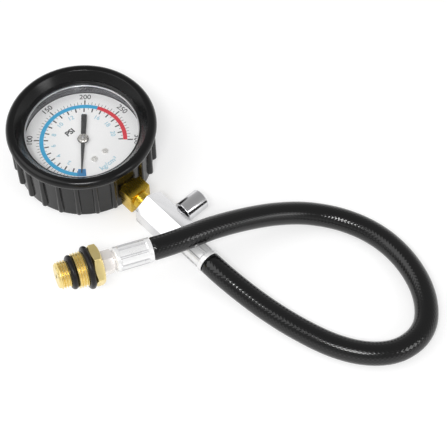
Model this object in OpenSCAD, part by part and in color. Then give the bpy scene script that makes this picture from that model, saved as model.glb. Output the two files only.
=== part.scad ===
// Engine compression tester: a dial gauge in a ribbed rubber boot, a bleed valve on its stem,
// a short hose and a brass adaptor that screws into a spark-plug hole.
// The origin is the centre of the boot's back face. The dial faces +Z and the stem runs along -Y.

/* [Case and window] */
// Outside diameter of the gauge case
case_d = 64.6; // [60:0.2:70]
// Wall of the case
case_wall = 0.8; // [0.6:0.1:1.2]
// Depth of the case, back to rim
case_h = 20.2; // [19:0.2:24]
// Thickness of the window
lens_t = 1.5; // [1:0.1:2.5]
// Thickness of the ring seal under the window
gasket_t = 0.5; // [0.3:0.1:1]
// Sheet thickness of the bezel ring
bezel_t = 0.6; // [0.4:0.1:0.9]
// Depth of the bezel's skirt down the case
bezel_skirt = 6; // [3:0.5:10]
// Clear diameter inside the bezel ring
bezel_window_d = 59.4; // [56:0.2:60]

/* [Boot] */
// Wall of the boot outside the case
boot_wall = 3.4; // [2.6:0.1:5]
// Thickness of the boot's back
boot_floor = 3; // [2.6:0.1:4]
// Overall height of the boot
boot_h = 33; // [32:0.5:38]
// How far the back edge draws in from the wall
boot_draft = 0.4; // [0:0.1:0.8]
// How far the rolled lip stands out from the wall
lip_reach = 2.8; // [2:0.1:4]
// Diameter of the rolled lip
lip_roll_d = 6; // [5:0.2:7]
// Clear diameter of the boot's front opening
boot_window_d = 60.4; // [58:0.2:62]
// Thickness of the boot's inner edge over the bezel
boot_edge_t = 0.9; // [0.6:0.1:1.5]
// Places for a grip rib around the boot, one of them taken by the stem
rib_count = 24; // [18:1:30]
// Width of a grip rib
rib_w = 2.8; // [2:0.1:3.6]
// How far a grip rib stands out
rib_reach = 1.7; // [1.5:0.1:2.4]
// Height of a rib's foot above the back
rib_foot = 2.8; // [2:0.1:6]

/* [Dial and pointer] */
// Height of the dial plate above the case back
dial_h = 13.2; // [13:0.1:15]
// Thickness of the dial plate
dial_t = 0.5; // [0.3:0.1:0.8]
// Angle of zero on the scale
zero_angle = -132; // [-150:1:-120]
// Angle from zero to the scale's end
scale_sweep = 270; // [255:1:285]
// Reach of the pointer's tip
needle_len = 22; // [18:0.1:24]
// Width of the pointer at its root
needle_w = 2.3; // [1.6:0.1:2.6]
// Reach of the pointer's tail
tail_len = 16; // [10:0.5:20]
// Width of the pointer's tail at its end
tail_w = 3; // [2.4:0.1:3.6]
// Diameter of the pointer's hub disc
hub_d = 5.8; // [4.8:0.1:7]
// Spacing of the two dial screws
dial_screw_spacing = 7.4; // [6:0.2:9]
// Distance of the dial screws from the dial's centre, towards the stem
dial_screw_y = 13.5; // [12.5:0.1:14.5]

/* [Movement] */
// Gear module of the pinion and sector
gear_module = 0.3; // [0.28:0.01:0.31]
// Teeth on the pointer's pinion
pinion_teeth = 12; // [12:1:13]
// Turns of the pointer for one turn of the sector
gear_ratio = 8; // [7:1:8]
// Thickness of the sector plate
sector_t = 1; // [0.8:0.1:1.2]
// Thickness of the movement's back plate
back_plate_t = 1.2; // [1:0.1:1.4]
// Thickness of the movement's front plate
front_plate_t = 1; // [0.8:0.1:1.2]
// Gap between the movement's plates
pillar_h = 6.8; // [6.8:0.1:7]
// Diameter of a movement pillar
pillar_d = 2.8; // [2.4:0.1:3.2]
// Reach of the sector's tail
sector_tail = 6; // [5.6:0.1:6.2]
// Length of the link between its pivots
link_len = 7; // [6.8:0.1:7.2]
// Mean radius of the pressure tube's coil
tube_r = 26; // [25.6:0.1:26.4]
// Height of the pressure tube's flat section
tube_h = 8.4; // [7:0.2:9]
// Thickness of the pressure tube's flat section
tube_w = 2.4; // [2:0.1:2.6]
// Wall of the pressure tube
tube_wall = 0.35; // [0.25:0.05:0.5]

/* [Stem and bleed valve] */
// Height of the stem's axis above the back
stem_h = 11.2; // [11.1:0.1:11.6]
// Across flats of the brass stem's square
socket_af = 13; // [12.5:0.5:14]
// Length of the brass stem's square
socket_len = 8; // [7:0.2:12]
// Diameter of the stem's pipe thread
neck_d = 9.8; // [9.4:0.1:10.4]
// Diameter of the stem where it passes the case wall
shank_d = 11.4; // [10:0.2:11.6]
// Thread left in sight between the square and the valve
neck_show = 5.9; // [2:0.1:6]
// Across flats of the bleed valve's hexagon
valve_af = 17; // [17:0.5:19]
// Length of the bleed valve's body
valve_len = 26.5; // [26:0.5:32]
// Distance of the bleed button from the valve body's gauge end
bleed_at = 15.5; // [14:0.5:16]
// Diameter of the bleed button
button_d = 11.5; // [10.5:0.1:13]
// Length of the bleed button
button_len = 13.5; // [12:0.1:16]
// Gap from the valve body to the button
button_gap = 1.8; // [1.6:0.1:3]
// Diameter of the neck that the button slides on
button_neck_d = 7; // [6.4:0.1:7.4]

/* [Hose] */
// Outside diameter of the hose
hose_d = 12; // [11:0.1:12.2]
// Bore of the hose
hose_bore = 6; // [5.8:0.1:6.6]
// Length of a crimped ferrule
ferrule_len = 19.5; // [18:0.5:22]
// Wall of a crimped ferrule
ferrule_wall = 0.8; // [0.6:0.1:0.9]
// Depth of the crimp flats
crimp_depth = 0.25; // [0.1:0.05:0.4]
// Flats pressed around a ferrule
crimp_flats = 8; // [6:1:10]

/* [Adaptor] */
// Across flats of the hose nipple's hexagon
nipple_af = 11; // [10:0.5:14]
// Length of the hose nipple's hexagon
nipple_hex_len = 6.2; // [5:0.2:9]
// Across flats of the adaptor's hexagon
adaptor_af = 19; // [18:0.5:22]
// Thickness of the adaptor's hexagon
adaptor_hex_len = 4.8; // [4:0.2:8]
// Diameter of the large spark-plug thread
large_thread_d = 18; // [17:0.5:18]
// Length of the large thread beyond its seal
large_thread_len = 5; // [4:0.2:9]
// Diameter of the small spark-plug thread
small_thread_d = 14; // [13:0.5:14]
// Length of the small thread beyond its seal
small_thread_len = 6; // [5:0.2:12]
// Section diameter of the two seals
ring_section = 3.2; // [2.6:0.1:3.4]
// Outside diameter of the large seal
large_ring_d = 22; // [21:0.2:23]
// Outside diameter of the small seal
small_ring_d = 17.4; // [16.6:0.2:17.6]
// Diameter of the hole in the adaptor's end
tip_hole_d = 2.2; // [1.8:0.1:2.4]

/* [Hidden] */
$fn = 64;

// Clearances: push fit of rigid pieces, running fit of shafts, slack round rubber, and the link's free eye
push_fit = 0.05;
run_fit = 0.06;
loose_fit = 0.3;
free_eye_fit = 0.4;
// Overshoot of a cut past a face, and of a solid into the one that it joins
cut = 0.5;
// Inset of a hexagon's turned end face from its flats
hex_face_inset = 0.2;
// Turned ends that only break the corners: past the valve's flats, and in from the square's corners
valve_end_over = 0.9;
square_corner_cut = 0.6;

// Heights of the case, window and boot, from the back up
case_r = case_d / 2;
case_in_r = case_r - case_wall;
case_z = boot_floor;
case_floor_z = case_z + case_wall;
rim_z = case_z + case_h;
lens_z = rim_z + gasket_t;
lens_r = case_r - 2 * push_fit;
bezel_z = lens_z + lens_t;
bezel_r = case_r + 2 * push_fit + bezel_t;
cavity_r = bezel_r + loose_fit;
edge_z = bezel_z + bezel_t + loose_fit;
boot_r = cavity_r + boot_wall;
lip_r = boot_r + lip_reach;
lip_roll_r = lip_roll_d / 2;
lip_centre = [lip_r - lip_roll_r, boot_h - lip_roll_r];
boot_window_r = boot_window_d / 2;
// Rounding of the back edge, the lip's flat, the ribs' root, the seal's lap and the step in the boot's funnel
boot_edge_round = 1.2;
lip_flat = 0.4;
rib_root = 0.3;
gasket_lap = 0.3;
funnel_step = 1.3;
funnel_rise = 1.2;

// Movement heights: tongue of the stem, plates, dial
tongue_t = 2.2;
tongue_z = case_floor_z + tongue_t;
back_top = tongue_z + back_plate_t;
front_z = back_top + pillar_h;
front_top = front_z + front_plate_t;
dial_z = case_z + dial_h;
dial_top = dial_z + dial_t;
dial_r = case_in_r - loose_fit;
dial_hole_r = 2.2;
sector_z = back_top + 2.2;
sector_top = sector_z + sector_t;
end_play = 0.2;

// Plate outline and the places of pillars and screws
plate_left = -8;
plate_half_w = 7;
plate_corner = 2;
tongue_half_w = 7;
plate_foot_y = -17;
pillar_left_x = -5.6;
pillar_left_y = 4.2;
pillar_right_y = 5.2;
movement_screw_x = 4.5;
movement_screw_y = -11.5;
movement_screw_d = 1.6;
movement_screw_head_t = 0.9;
pillar_screw_d = 1.2;
pillar_screw_head_t = 0.8;
pillar_screw_bite = 2.5;
pillar_screw_hole = 3;
tenon_d = 1.8;
plate_margin = 3.8;
pillar_setback = 0.7;

// Gears: the pinion turns at the origin and the sector swings on a pivot along +X
pinion_r = gear_module * pinion_teeth / 2;
sector_teeth_full = pinion_teeth * gear_ratio;
sector_r = gear_module * sector_teeth_full / 2;
pivot = [pinion_r + sector_r, 0];
plate_right = pivot[0] + plate_margin;
pillar_right_x = pivot[0] - pillar_setback;
pressure_angle = 20;
backlash = 0.1;
sector_swing = scale_sweep / gear_ratio;
sector_tooth_spare = 2;
sector_tooth_first = -ceil(sector_swing * sector_teeth_full / 360) - sector_tooth_spare;
sector_tooth_last = sector_tooth_spare;
sector_rim = 2;
sector_hub_r = 2.2;
sector_spoke_w = 2;
sector_spoke_inset = 3;
pinion_face = 2.6;
arbor_d = 1.4;
sector_arbor_d = 1.6;

// Link: from the sector's tail to the free end of the pressure tube
tail_angle = -37;
link_angle = -75;
link_t = 0.6;
link_w = 2;
link_eye_d = 2.8;
pivot_pin_d = 1;
tail_eye = pivot + sector_tail * [cos(tail_angle), sin(tail_angle)];
tip_eye = tail_eye + link_len * [cos(link_angle), sin(link_angle)];
link_gap = 0.2;
link_z = sector_top + link_gap;
pin_head_gap = 0.1;
pin_head_t = 0.4;
pin_head_d = 1.8;

// Pressure tube: a flat tube bent to an open coil, brazed into the stem's block
tube_drop = 1.2;
tube_z = stem_h - tube_drop;
tube_tip_angle = -16;
tube_root_angle = 255;
tube_plug_angle = 3;
tube_seat_angle = 20;
tube_seat_play = 0.2;
tip_lug_inset = 0.4;
tip_lug_d = 2.24;

// Hairspring under the front plate
hair_z = front_z - 2;
hair_h = 0.8;
hair_t = 0.15;
hair_turns = 4;
hair_in_r = 1.7;
hair_out_r = 4.6;
hair_steps = 22;
collet_d = 3;
stud_d = 1;
stud_y = hair_out_r + hair_t / 2 + stud_d / 2 + push_fit;
stud_drop = 0.2;

// Pointer heights above the dial
screw_head_t = 0.6;
pointer_lift = 0.5;
pointer_z = dial_top + screw_head_t + pointer_lift;
pointer_t = 0.4;
bush_d = 2.4;
bush_disc_t = 0.9;
bush_foot_w = 0.5;
hub_rim = 0.15;
hub_bevel = 0.6;
arbor_show = 0.6;
dial_screw_d = 1.4;
dial_screw_head_d = 3.4;
dial_post_d = 3.4;

// Stem, measured outwards from the gauge's axis
socket_gap = 0.9;
socket_start = boot_r + socket_gap;
neck_start = socket_start + socket_len;
valve_start = neck_start + neck_show;
neck_grip = 6.1;
neck_end = valve_start + neck_grip;
valve_end = valve_start + valve_len;
stem_bore_d = 4;
block_half_w = 10;
block_front = 19;
block_roof = 1;
block_top = tube_z + tube_h / 2 + block_roof;
stem_bore_floor = 4;
thread_relief = 0.4;
tongue_front = 9;
case_screw_x = 4;
case_screw_inset = 7.5;
case_screw_y = case_screw_inset - case_in_r;
case_screw_d = 2.4;
case_screw_head_d = 4.6;
case_screw_head_t = 1.4;
case_screw_depth = 5;
screw_end_gap = 0.4;

// Bleed valve: a headed stem drawn shut by a spring under the button
bleed_y = valve_start + bleed_at;
chamber_d = 6;
outlet_depth = 6;
outlet_d = 10;
bush_thread_d = 8;
bush_inner_x = 3.25;
button_x = valve_af / 2 + button_gap;
button_end_x = button_x + button_len;
button_top_t = 2.3;
button_slack = 0.7;
button_bore_d = button_neck_d + 2 * button_slack;
button_neck_reach = 6.7;
neck_end_x = button_x + button_neck_reach;
button_edge = 0.8;
stem_seat_depth = 1;
stem_end_gap = 0.1;
bleed_stem_d = 2;
bleed_head_d = 4.8;
bleed_head_t = 1;
bleed_seal_t = 1;
bleed_seat_gap = 0.05;
spring_wire_d = 0.6;
bleed_spring_r = 2.4;
bleed_spring_turns = 4;

// Hose ends: the hose is squeezed between a ferrule and the barbed tail of a nipple
hose_r = hose_d / 2;
hose_squeeze = 0.7;
hose_squeezed_r = hose_r - hose_squeeze;
ferrule_bore_r = hose_squeezed_r + loose_fit;
ferrule_r = ferrule_bore_r + ferrule_wall;
ferrule_lip_t = 1;
ferrule_round = 1.2;
ferrule_collar = 2.2;
ferrule_chamfer = 0.3;
hose_sides = 12;
barb_fit = 0.15;
barb_d = hose_bore * cos(180 / hose_sides) - 2 * barb_fit;
barb_count = 4;
barb_pitch = 3;
barb_depth = 0.3;
barb_edge = 0.4;
barb_inset = 1.5;
nipple_tail_len = ferrule_len - barb_inset;
nipple_end_gap = 0.3;
nipple_bore_d = 2.6;
nipple_collar_t = 0.8;
nipple_collar_d = 9;
nipple_thread_d = 8;
nipple_thread_len = 7;
near_ferrule_start = valve_end + nipple_collar_t;
near_mouth = near_ferrule_start + ferrule_len;
hose_end_inset = 2.5;
hose_shoulder = 0.7;

// Route of the free hose, from the near ferrule round its loop to the far ferrule.
// It dips to the table, turns back, and climbs over the near ferrule.
free_route = [
    [0.5, -110, 10.4], [2.5, -124, 8], [5, -138, 6.4], [8.5, -154, 6], [13.5, -170, 6],
    [20, -182.5, 6], [28, -191.5, 6], [37, -196.8, 6], [47, -198.2, 6], [56, -195.8, 6],
    [63.5, -190, 6], [69.8, -181.5, 6], [74.3, -171, 6], [76.8, -159.5, 6], [77, -147, 6],
    [74.3, -134, 6], [68, -121, 6.6], [57.5, -109.5, 9], [44, -101, 12.8], [28.5, -94.6, 17.2],
    [12, -89.6, 21.6], [-2, -86.3, 24.2], [-12.4, -83, 25]
];
far_mouth = [-21.8, -79.4, 25.6];
far_inner = [-37.5, -73.1, 26.8];
far_axis = (far_inner - far_mouth) / norm(far_inner - far_mouth);
far_heading = atan2(far_axis[1], far_axis[0]);
far_tilt = asin(far_axis[2]);
// Turn of the far fitting about its own axis
far_roll = 12;

// Far fitting, measured outwards from the far ferrule's mouth
far_collar = ferrule_len;
nipple_hex_start = far_collar + nipple_collar_t;
adaptor_start = nipple_hex_start + nipple_hex_len;
adaptor_face = adaptor_start + adaptor_hex_len;
groove_slack = 0.2;
groove_w = ring_section + groove_slack;
large_land_start = adaptor_face + groove_w;
small_groove_start = large_land_start + large_thread_len;
small_land_start = small_groove_start + groove_w;
adaptor_end = small_land_start + small_thread_len;
ring_r = ring_section / 2;
large_ring_r = large_ring_d / 2 - ring_r;
small_ring_r = small_ring_d / 2 - ring_r;
large_groove_r = large_ring_r - ring_r - push_fit;
small_groove_r = small_ring_r - ring_r - push_fit;
thread_chamfer = 1.2;

// Valve core inside the adaptor, measured inwards from the adaptor's end
tip_wall = 2;
core_d = 5;
core_len = 7;
core_start = adaptor_end - tip_wall - core_len;
core_guide_len = 2;
core_cup_d = 3.4;
core_cup_t = 1.6;
core_seal_t = 0.9;
core_pin_d = 1;
core_pin_recess = 1;
core_collar_d = 2.8;
core_collar_t = 0.6;
core_collar_inset = 0.8;
core_room = 0.3;
core_spring_r = 1.05;
core_spring_wire_d = 0.35;
core_spring_turns = 4;

// Directions: local z runs out along the stem, out through the bleed button, or along the far fitting
module along_stem(d) {
    translate([0, -d, stem_h]) rotate([90, 0, 0]) children();
}

module along_bleed(x) {
    translate([x, -bleed_y, stem_h]) rotate([0, 90, 0]) children();
}

module along_far(s) {
    translate(far_mouth) rotate([0, 0, far_heading]) rotate([0, 90 - far_tilt, 0])
        rotate([0, 0, far_roll]) translate([0, 0, s]) children();
}

// Bar along z with a flat towards +x and both ends turned to a chamfer
module flat_bar(sides, af, len, end_r) {
    corner_r = af / 2 / cos(180 / sides);
    outer_r = corner_r + cut;
    rise = (outer_r - end_r) * tan(30);
    intersection() {
        rotate([0, 0, 180 / sides]) cylinder(r = corner_r, h = len, $fn = sides);
        rotate_extrude() polygon([
            [0, 0], [end_r, 0], [outer_r, rise], [outer_r, len - rise], [end_r, len], [0, len]
        ]);
    }
}

module hex_bar(af, len) {
    flat_bar(6, af, len, af / 2 - hex_face_inset);
}

module square_bar(af, len) {
    flat_bar(4, af, len, af / 2 / cos(45) - square_corner_cut);
}

// Plain ring along z
module ring(outer_r, inner_r, len) {
    difference() {
        cylinder(r = outer_r, h = len);
        translate([0, 0, -cut]) cylinder(r = inner_r, h = len + 2 * cut);
    }
}

// Slotted pan-head screw standing on z = 0 with its shank below
module slotted_screw(d, head_d, head_t, len) {
    slot_w = head_d * 0.2;
    difference() {
        union() {
            cylinder(d = head_d, h = head_t);
            translate([0, 0, -len]) cylinder(d = d, h = len + head_t / 2);
        }
        translate([-head_d, -slot_w / 2, head_t * 0.55]) cube([2 * head_d, slot_w, head_t]);
    }
}

// Flat bar with two round eyes between two points, in the plane
module eye_bar(a, b, eye_d, bar_w) {
    run = b - a;
    translate(a) circle(d = eye_d);
    translate(b) circle(d = eye_d);
    translate(a) rotate(atan2(run[1], run[0])) translate([0, -bar_w / 2]) square([norm(run), bar_w]);
}

// Rings of points square to a path, and the skins between them
function unit(v) = v / norm(v);
function path_dir(path, i) = unit(path[min(i + 1, len(path) - 1)] - path[max(i - 1, 0)]);
function ring_points(path, i, r, sides) =
    let (t = path_dir(path, i), side = unit(cross(t, [0, 0, 1])), up = cross(side, t))
    [for (j = [0 : sides - 1]) path[i] + r * (cos(j * 360 / sides) * side + sin(j * 360 / sides) * up)];
function skin(rings, sides, first) = [
    for (i = [0 : rings - 2], j = [0 : sides - 1])
        let (a = first + i * sides, k = (j + 1) % sides)
        each [[a + j, a + k, a + sides + k], [a + j, a + sides + k, a + sides + j]]
];
function turned(faces) = [for (f = faces) [f[2], f[1], f[0]]];

// Solid wire along a path
module swept_wire(path, r, sides) {
    last = (len(path) - 1) * sides;
    points = [for (i = [0 : len(path) - 1]) each ring_points(path, i, r, sides)];
    caps = [[for (j = [sides - 1 : -1 : 0]) j], [for (j = [0 : sides - 1]) last + j]];
    polyhedron(points, concat(skin(len(path), sides, 0), caps), convexity = 10);
}

// Pipe along a path, with a radius outside and inside at each point
module swept_pipe(path, outer, inner, sides) {
    rings = len(path);
    bore = rings * sides;
    last = (rings - 1) * sides;
    points = concat(
        [for (i = [0 : rings - 1]) each ring_points(path, i, outer[i], sides)],
        [for (i = [0 : rings - 1]) each ring_points(path, i, inner[i], sides)]
    );
    near_end = [for (j = [0 : sides - 1]) let (k = (j + 1) % sides)
        each [[j, bore + j, bore + k], [j, bore + k, k]]];
    far_end = [for (j = [0 : sides - 1]) let (k = (j + 1) % sides, o = last, n = bore + last)
        each [[o + j, o + k, n + k], [o + j, n + k, n + j]]];
    skins = concat(skin(rings, sides, 0), turned(skin(rings, sides, bore)));
    polyhedron(points, concat(skins, near_end, far_end), convexity = 10);
}

// Coil spring standing on z = 0 to the given height over its wire
module coil_spring(r, wire_d, height, turns) {
    steps = 14;
    rise = height - wire_d;
    path = [for (i = [0 : turns * steps])
        [r * cos(i * 360 / steps), r * sin(i * 360 / steps), wire_d / 2 + rise * i / (turns * steps)]];
    swept_wire(path, wire_d / 2, 6);
}

// Boot
module boot_profile() {
    step_r = boot_window_r + funnel_step;
    step_z = edge_z + boot_edge_t + funnel_rise;
    polygon([
        [0, 0], [boot_r - boot_draft - boot_edge_round, 0], [boot_r - boot_draft, boot_edge_round],
        [boot_r, lip_centre[1]], lip_centre, [lip_centre[0] - lip_roll_r / 2, boot_h - lip_flat],
        [step_r, step_z], [step_r, step_z - funnel_rise / 2], [boot_window_r, edge_z + boot_edge_t],
        [boot_window_r, edge_z], [cavity_r, edge_z], [cavity_r, boot_floor], [0, boot_floor]
    ]);
    translate(lip_centre) circle(r = lip_roll_r);
}

module grip_ribs() {
    root_r = boot_r - boot_draft - rib_root;
    nose_r = boot_r + rib_reach - rib_w / 2;
    translate([0, 0, rib_foot]) linear_extrude(height = lip_centre[1] - rib_foot) difference() {
        union() {
            circle(r = root_r);
            for (i = [1 : rib_count - 1])
                rotate(-90 + i * 360 / rib_count) {
                    translate([root_r - cut, -rib_w / 2]) square([nose_r - root_r + cut, rib_w]);
                    translate([nose_r, 0]) circle(d = rib_w);
                }
        }
        circle(r = cavity_r + boot_wall / 3);
    }
}

module boot() {
    color([0.06, 0.06, 0.065]) difference() {
        union() {
            rotate_extrude($fn = 96) boot_profile();
            grip_ribs();
        }
        along_stem(0) cylinder(d = shank_d + 2 * loose_fit, h = lip_r + cut);
        for (x = [-case_screw_x, case_screw_x])
            translate([x, case_screw_y, boot_floor - case_screw_head_t - loose_fit])
                cylinder(d = case_screw_head_d + 2 * loose_fit, h = boot_floor);
    }
}

// Case and window
module case() {
    color([0.72, 0.72, 0.74]) difference() {
        translate([0, 0, case_z]) rotate_extrude() polygon([
            [0, 0], [case_r, 0], [case_r, case_h], [case_in_r, case_h], [case_in_r, case_wall], [0, case_wall]
        ]);
        along_stem(0) cylinder(d = shank_d + 2 * push_fit, h = case_r + cut);
        for (x = [-case_screw_x, case_screw_x])
            translate([x, case_screw_y, case_z - cut])
                cylinder(d = case_screw_d + 2 * push_fit, h = case_wall + 2 * cut);
    }
}

module lens_gasket() {
    color([0.1, 0.1, 0.1]) translate([0, 0, rim_z]) ring(lens_r, case_in_r - gasket_lap, gasket_t);
}

module lens() {
    color([0.9, 0.95, 1, 0.3]) translate([0, 0, lens_z]) cylinder(r = lens_r, h = lens_t);
}

module bezel_ring() {
    color([0.85, 0.85, 0.87]) translate([0, 0, bezel_z]) rotate_extrude() polygon([
        [bezel_window_d / 2, 0], [bezel_r - bezel_t, 0], [bezel_r - bezel_t, -bezel_skirt],
        [bezel_r, -bezel_skirt], [bezel_r, bezel_t], [bezel_window_d / 2, bezel_t]
    ]);
}

// Dial and pointer
module at_dial_screws() {
    for (x = [-dial_screw_spacing / 2, dial_screw_spacing / 2])
        translate([x, -dial_screw_y, 0]) children();
}

module dial_plate() {
    color([0.95, 0.95, 0.94]) difference() {
        translate([0, 0, dial_z]) cylinder(r = dial_r, h = dial_t);
        translate([0, 0, dial_z - cut]) cylinder(r = dial_hole_r, h = dial_t + 2 * cut);
        at_dial_screws() translate([0, 0, dial_z - cut])
            cylinder(d = dial_screw_d + 2 * push_fit, h = dial_t + 2 * cut);
    }
}

module dial_posts() {
    color([0.78, 0.66, 0.32]) at_dial_screws() difference() {
        union() {
            translate([0, 0, front_top]) cylinder(d = dial_post_d, h = dial_z - front_top);
            translate([0, 0, front_z]) cylinder(d = tenon_d, h = front_plate_t + cut);
        }
        translate([0, 0, front_z + cut]) cylinder(d = dial_screw_d + 2 * push_fit, h = dial_z);
    }
}

module dial_screws() {
    color([0.8, 0.8, 0.82]) at_dial_screws() translate([0, 0, dial_top])
        slotted_screw(dial_screw_d, dial_screw_head_d, screw_head_t, dial_top - front_top);
}

module pointer() {
    tip_w = 0.5;
    tail_root_w = tail_w - 0.5;
    tail_corner_r = 0.7;
    corner_x = tail_corner_r - tail_len;
    corner_y = tail_w / 2 - tail_corner_r;
    color([0.05, 0.05, 0.05]) translate([0, 0, pointer_z]) rotate(zero_angle)
        linear_extrude(height = pointer_t) difference() {
            union() {
                polygon([
                    [0, -needle_w / 2], [needle_len, -tip_w / 2], [needle_len, tip_w / 2], [0, needle_w / 2]
                ]);
                polygon([
                    [0, tail_root_w / 2], [corner_x, tail_w / 2],
                    [corner_x, -tail_w / 2], [0, -tail_root_w / 2]
                ]);
                translate([-tail_len, -corner_y]) square([2 * tail_corner_r, 2 * corner_y]);
                for (y = [-corner_y, corner_y])
                    translate([corner_x, y]) circle(r = tail_corner_r);
                circle(d = hub_d + 2 * hub_rim);
            }
            circle(d = bush_d + 2 * push_fit);
        }
}

module pointer_bush() {
    disc_z = pointer_z + pointer_t;
    foot_z = dial_top + loose_fit;
    color([0.8, 0.8, 0.82]) difference() {
        union() {
            translate([0, 0, disc_z]) cylinder(d = hub_d, h = bush_disc_t - hub_bevel);
            translate([0, 0, disc_z + bush_disc_t - hub_bevel])
                cylinder(d1 = hub_d, d2 = hub_d - 2 * hub_bevel, h = hub_bevel);
            translate([0, 0, foot_z]) cylinder(d = bush_d, h = disc_z - foot_z + bush_disc_t / 2);
            translate([0, 0, foot_z]) cylinder(d = bush_d + 2 * bush_foot_w, h = pointer_z - foot_z);
        }
        translate([0, 0, foot_z - cut])
            cylinder(d = arbor_d + 2 * push_fit, h = disc_z + bush_disc_t - foot_z + 2 * cut);
    }
}

// Gear teeth: half angle of a tooth at a radius, and the outline of one tooth about angle zero
function involute(a) = tan(a) * 180 / PI - a;
function half_tooth(r, pitch_r, teeth) =
    let (base_r = pitch_r * cos(pressure_angle), a = acos(min(1, base_r / max(r, base_r))))
    90 / teeth - backlash / 2 / pitch_r * 180 / PI + involute(pressure_angle) - involute(a);
function tooth(pitch_r, teeth, top_r, root_r, at) =
    let (steps = 4, rs = [for (i = [0 : steps]) root_r + (top_r - root_r) * i / steps])
    concat(
        [for (r = rs) let (a = at - half_tooth(r, pitch_r, teeth)) r * [cos(a), sin(a)]],
        [for (i = [steps : -1 : 0])
            let (r = rs[i], a = at + half_tooth(r, pitch_r, teeth)) r * [cos(a), sin(a)]]
    );

module pinion() {
    top_r = pinion_r + gear_module;
    root_r = pinion_r - 1.25 * gear_module;
    pitch = 360 / pinion_teeth;
    shoulder_d = arbor_d + 1;
    teeth_z = sector_z - (pinion_face - sector_t) / 2;
    arbor_top = pointer_z + pointer_t + bush_disc_t + arbor_show;
    color([0.8, 0.68, 0.35]) {
        translate([0, 0, teeth_z]) linear_extrude(height = pinion_face)
            polygon([for (i = [0 : pinion_teeth - 1])
                each tooth(pinion_r, pinion_teeth, top_r, root_r, (i + 0.5) * pitch)]);
        translate([0, 0, tongue_z]) cylinder(d = arbor_d, h = arbor_top - tongue_z);
        translate([0, 0, back_top + end_play]) cylinder(d = shoulder_d, h = pillar_h - 2 * end_play);
        translate([0, 0, hair_z]) cylinder(d = collet_d, h = hair_h);
    }
}

module hairspring() {
    steps = hair_turns * hair_steps;
    function at(i, off) = let (a = 90 + i * 360 / hair_steps,
        r = hair_in_r + (hair_out_r - hair_in_r) * i / steps + off) r * [cos(a), sin(a)];
    color([0.55, 0.6, 0.75]) translate([0, 0, hair_z]) linear_extrude(height = hair_h) polygon(concat(
        [for (i = [0 : steps]) at(i, hair_t / 2)],
        [for (i = [steps : -1 : 0]) at(i, -hair_t / 2)]
    ));
}

module hairspring_stud() {
    foot_z = hair_z - stud_drop;
    color([0.8, 0.68, 0.35]) translate([0, stud_y, foot_z]) cylinder(d = stud_d, h = front_top - foot_z);
}

// Movement frame
module plate_outline() {
    module rounded(x0, x1, y0, y1) {
        translate([x0 + plate_corner, y0]) square([x1 - x0 - 2 * plate_corner, y1 - y0]);
        translate([x0, y0 + plate_corner]) square([x1 - x0, y1 - y0 - 2 * plate_corner]);
        for (x = [x0 + plate_corner, x1 - plate_corner], y = [y0 + plate_corner, y1 - plate_corner])
            translate([x, y]) circle(r = plate_corner);
    }
    rounded(plate_left, plate_right, -plate_half_w, plate_half_w);
    rounded(-tongue_half_w, tongue_half_w, plate_foot_y, plate_half_w);
}

module at_pillars() {
    for (y = [-1, 1]) {
        translate([pillar_left_x, y * pillar_left_y, 0]) children();
        translate([pillar_right_x, y * pillar_right_y, 0]) children();
    }
}

module at_movement_screws() {
    for (x = [-movement_screw_x, movement_screw_x])
        translate([x, movement_screw_y, 0]) children();
}

module movement_back_plate() {
    color([0.8, 0.68, 0.35]) translate([0, 0, tongue_z]) linear_extrude(height = back_plate_t) difference() {
        plate_outline();
        circle(d = arbor_d + 2 * run_fit);
        translate(pivot) circle(d = sector_arbor_d + 2 * run_fit);
        at_pillars() circle(d = tenon_d + 2 * push_fit);
        at_movement_screws() circle(d = movement_screw_d + 2 * push_fit);
    }
}

module movement_front_plate() {
    color([0.8, 0.68, 0.35]) translate([0, 0, front_z]) linear_extrude(height = front_plate_t) difference() {
        plate_outline();
        circle(d = arbor_d + 2 * run_fit);
        translate(pivot) circle(d = sector_arbor_d + 2 * run_fit);
        translate([0, stud_y]) circle(d = stud_d + 2 * push_fit);
        at_pillars() circle(d = pillar_screw_d + 2 * push_fit);
        at_dial_screws() circle(d = tenon_d + 2 * push_fit);
    }
}

module movement_pillars() {
    color([0.78, 0.66, 0.32]) at_pillars() difference() {
        union() {
            translate([0, 0, back_top]) cylinder(d = pillar_d, h = pillar_h);
            translate([0, 0, tongue_z]) cylinder(d = tenon_d, h = back_plate_t + cut);
        }
        translate([0, 0, front_z - pillar_screw_hole])
            cylinder(d = pillar_screw_d + 2 * push_fit, h = pillar_screw_hole + cut);
    }
}

module pillar_screws() {
    color([0.7, 0.7, 0.72]) at_pillars() translate([0, 0, front_top])
        slotted_screw(pillar_screw_d, 2.2 * pillar_screw_d, pillar_screw_head_t,
            front_plate_t + pillar_screw_bite);
}

module movement_screws() {
    color([0.7, 0.7, 0.72]) at_movement_screws() translate([0, 0, back_top])
        slotted_screw(movement_screw_d, 2 * movement_screw_d, movement_screw_head_t,
            back_plate_t + tongue_t - 2 * screw_end_gap);
}

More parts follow.
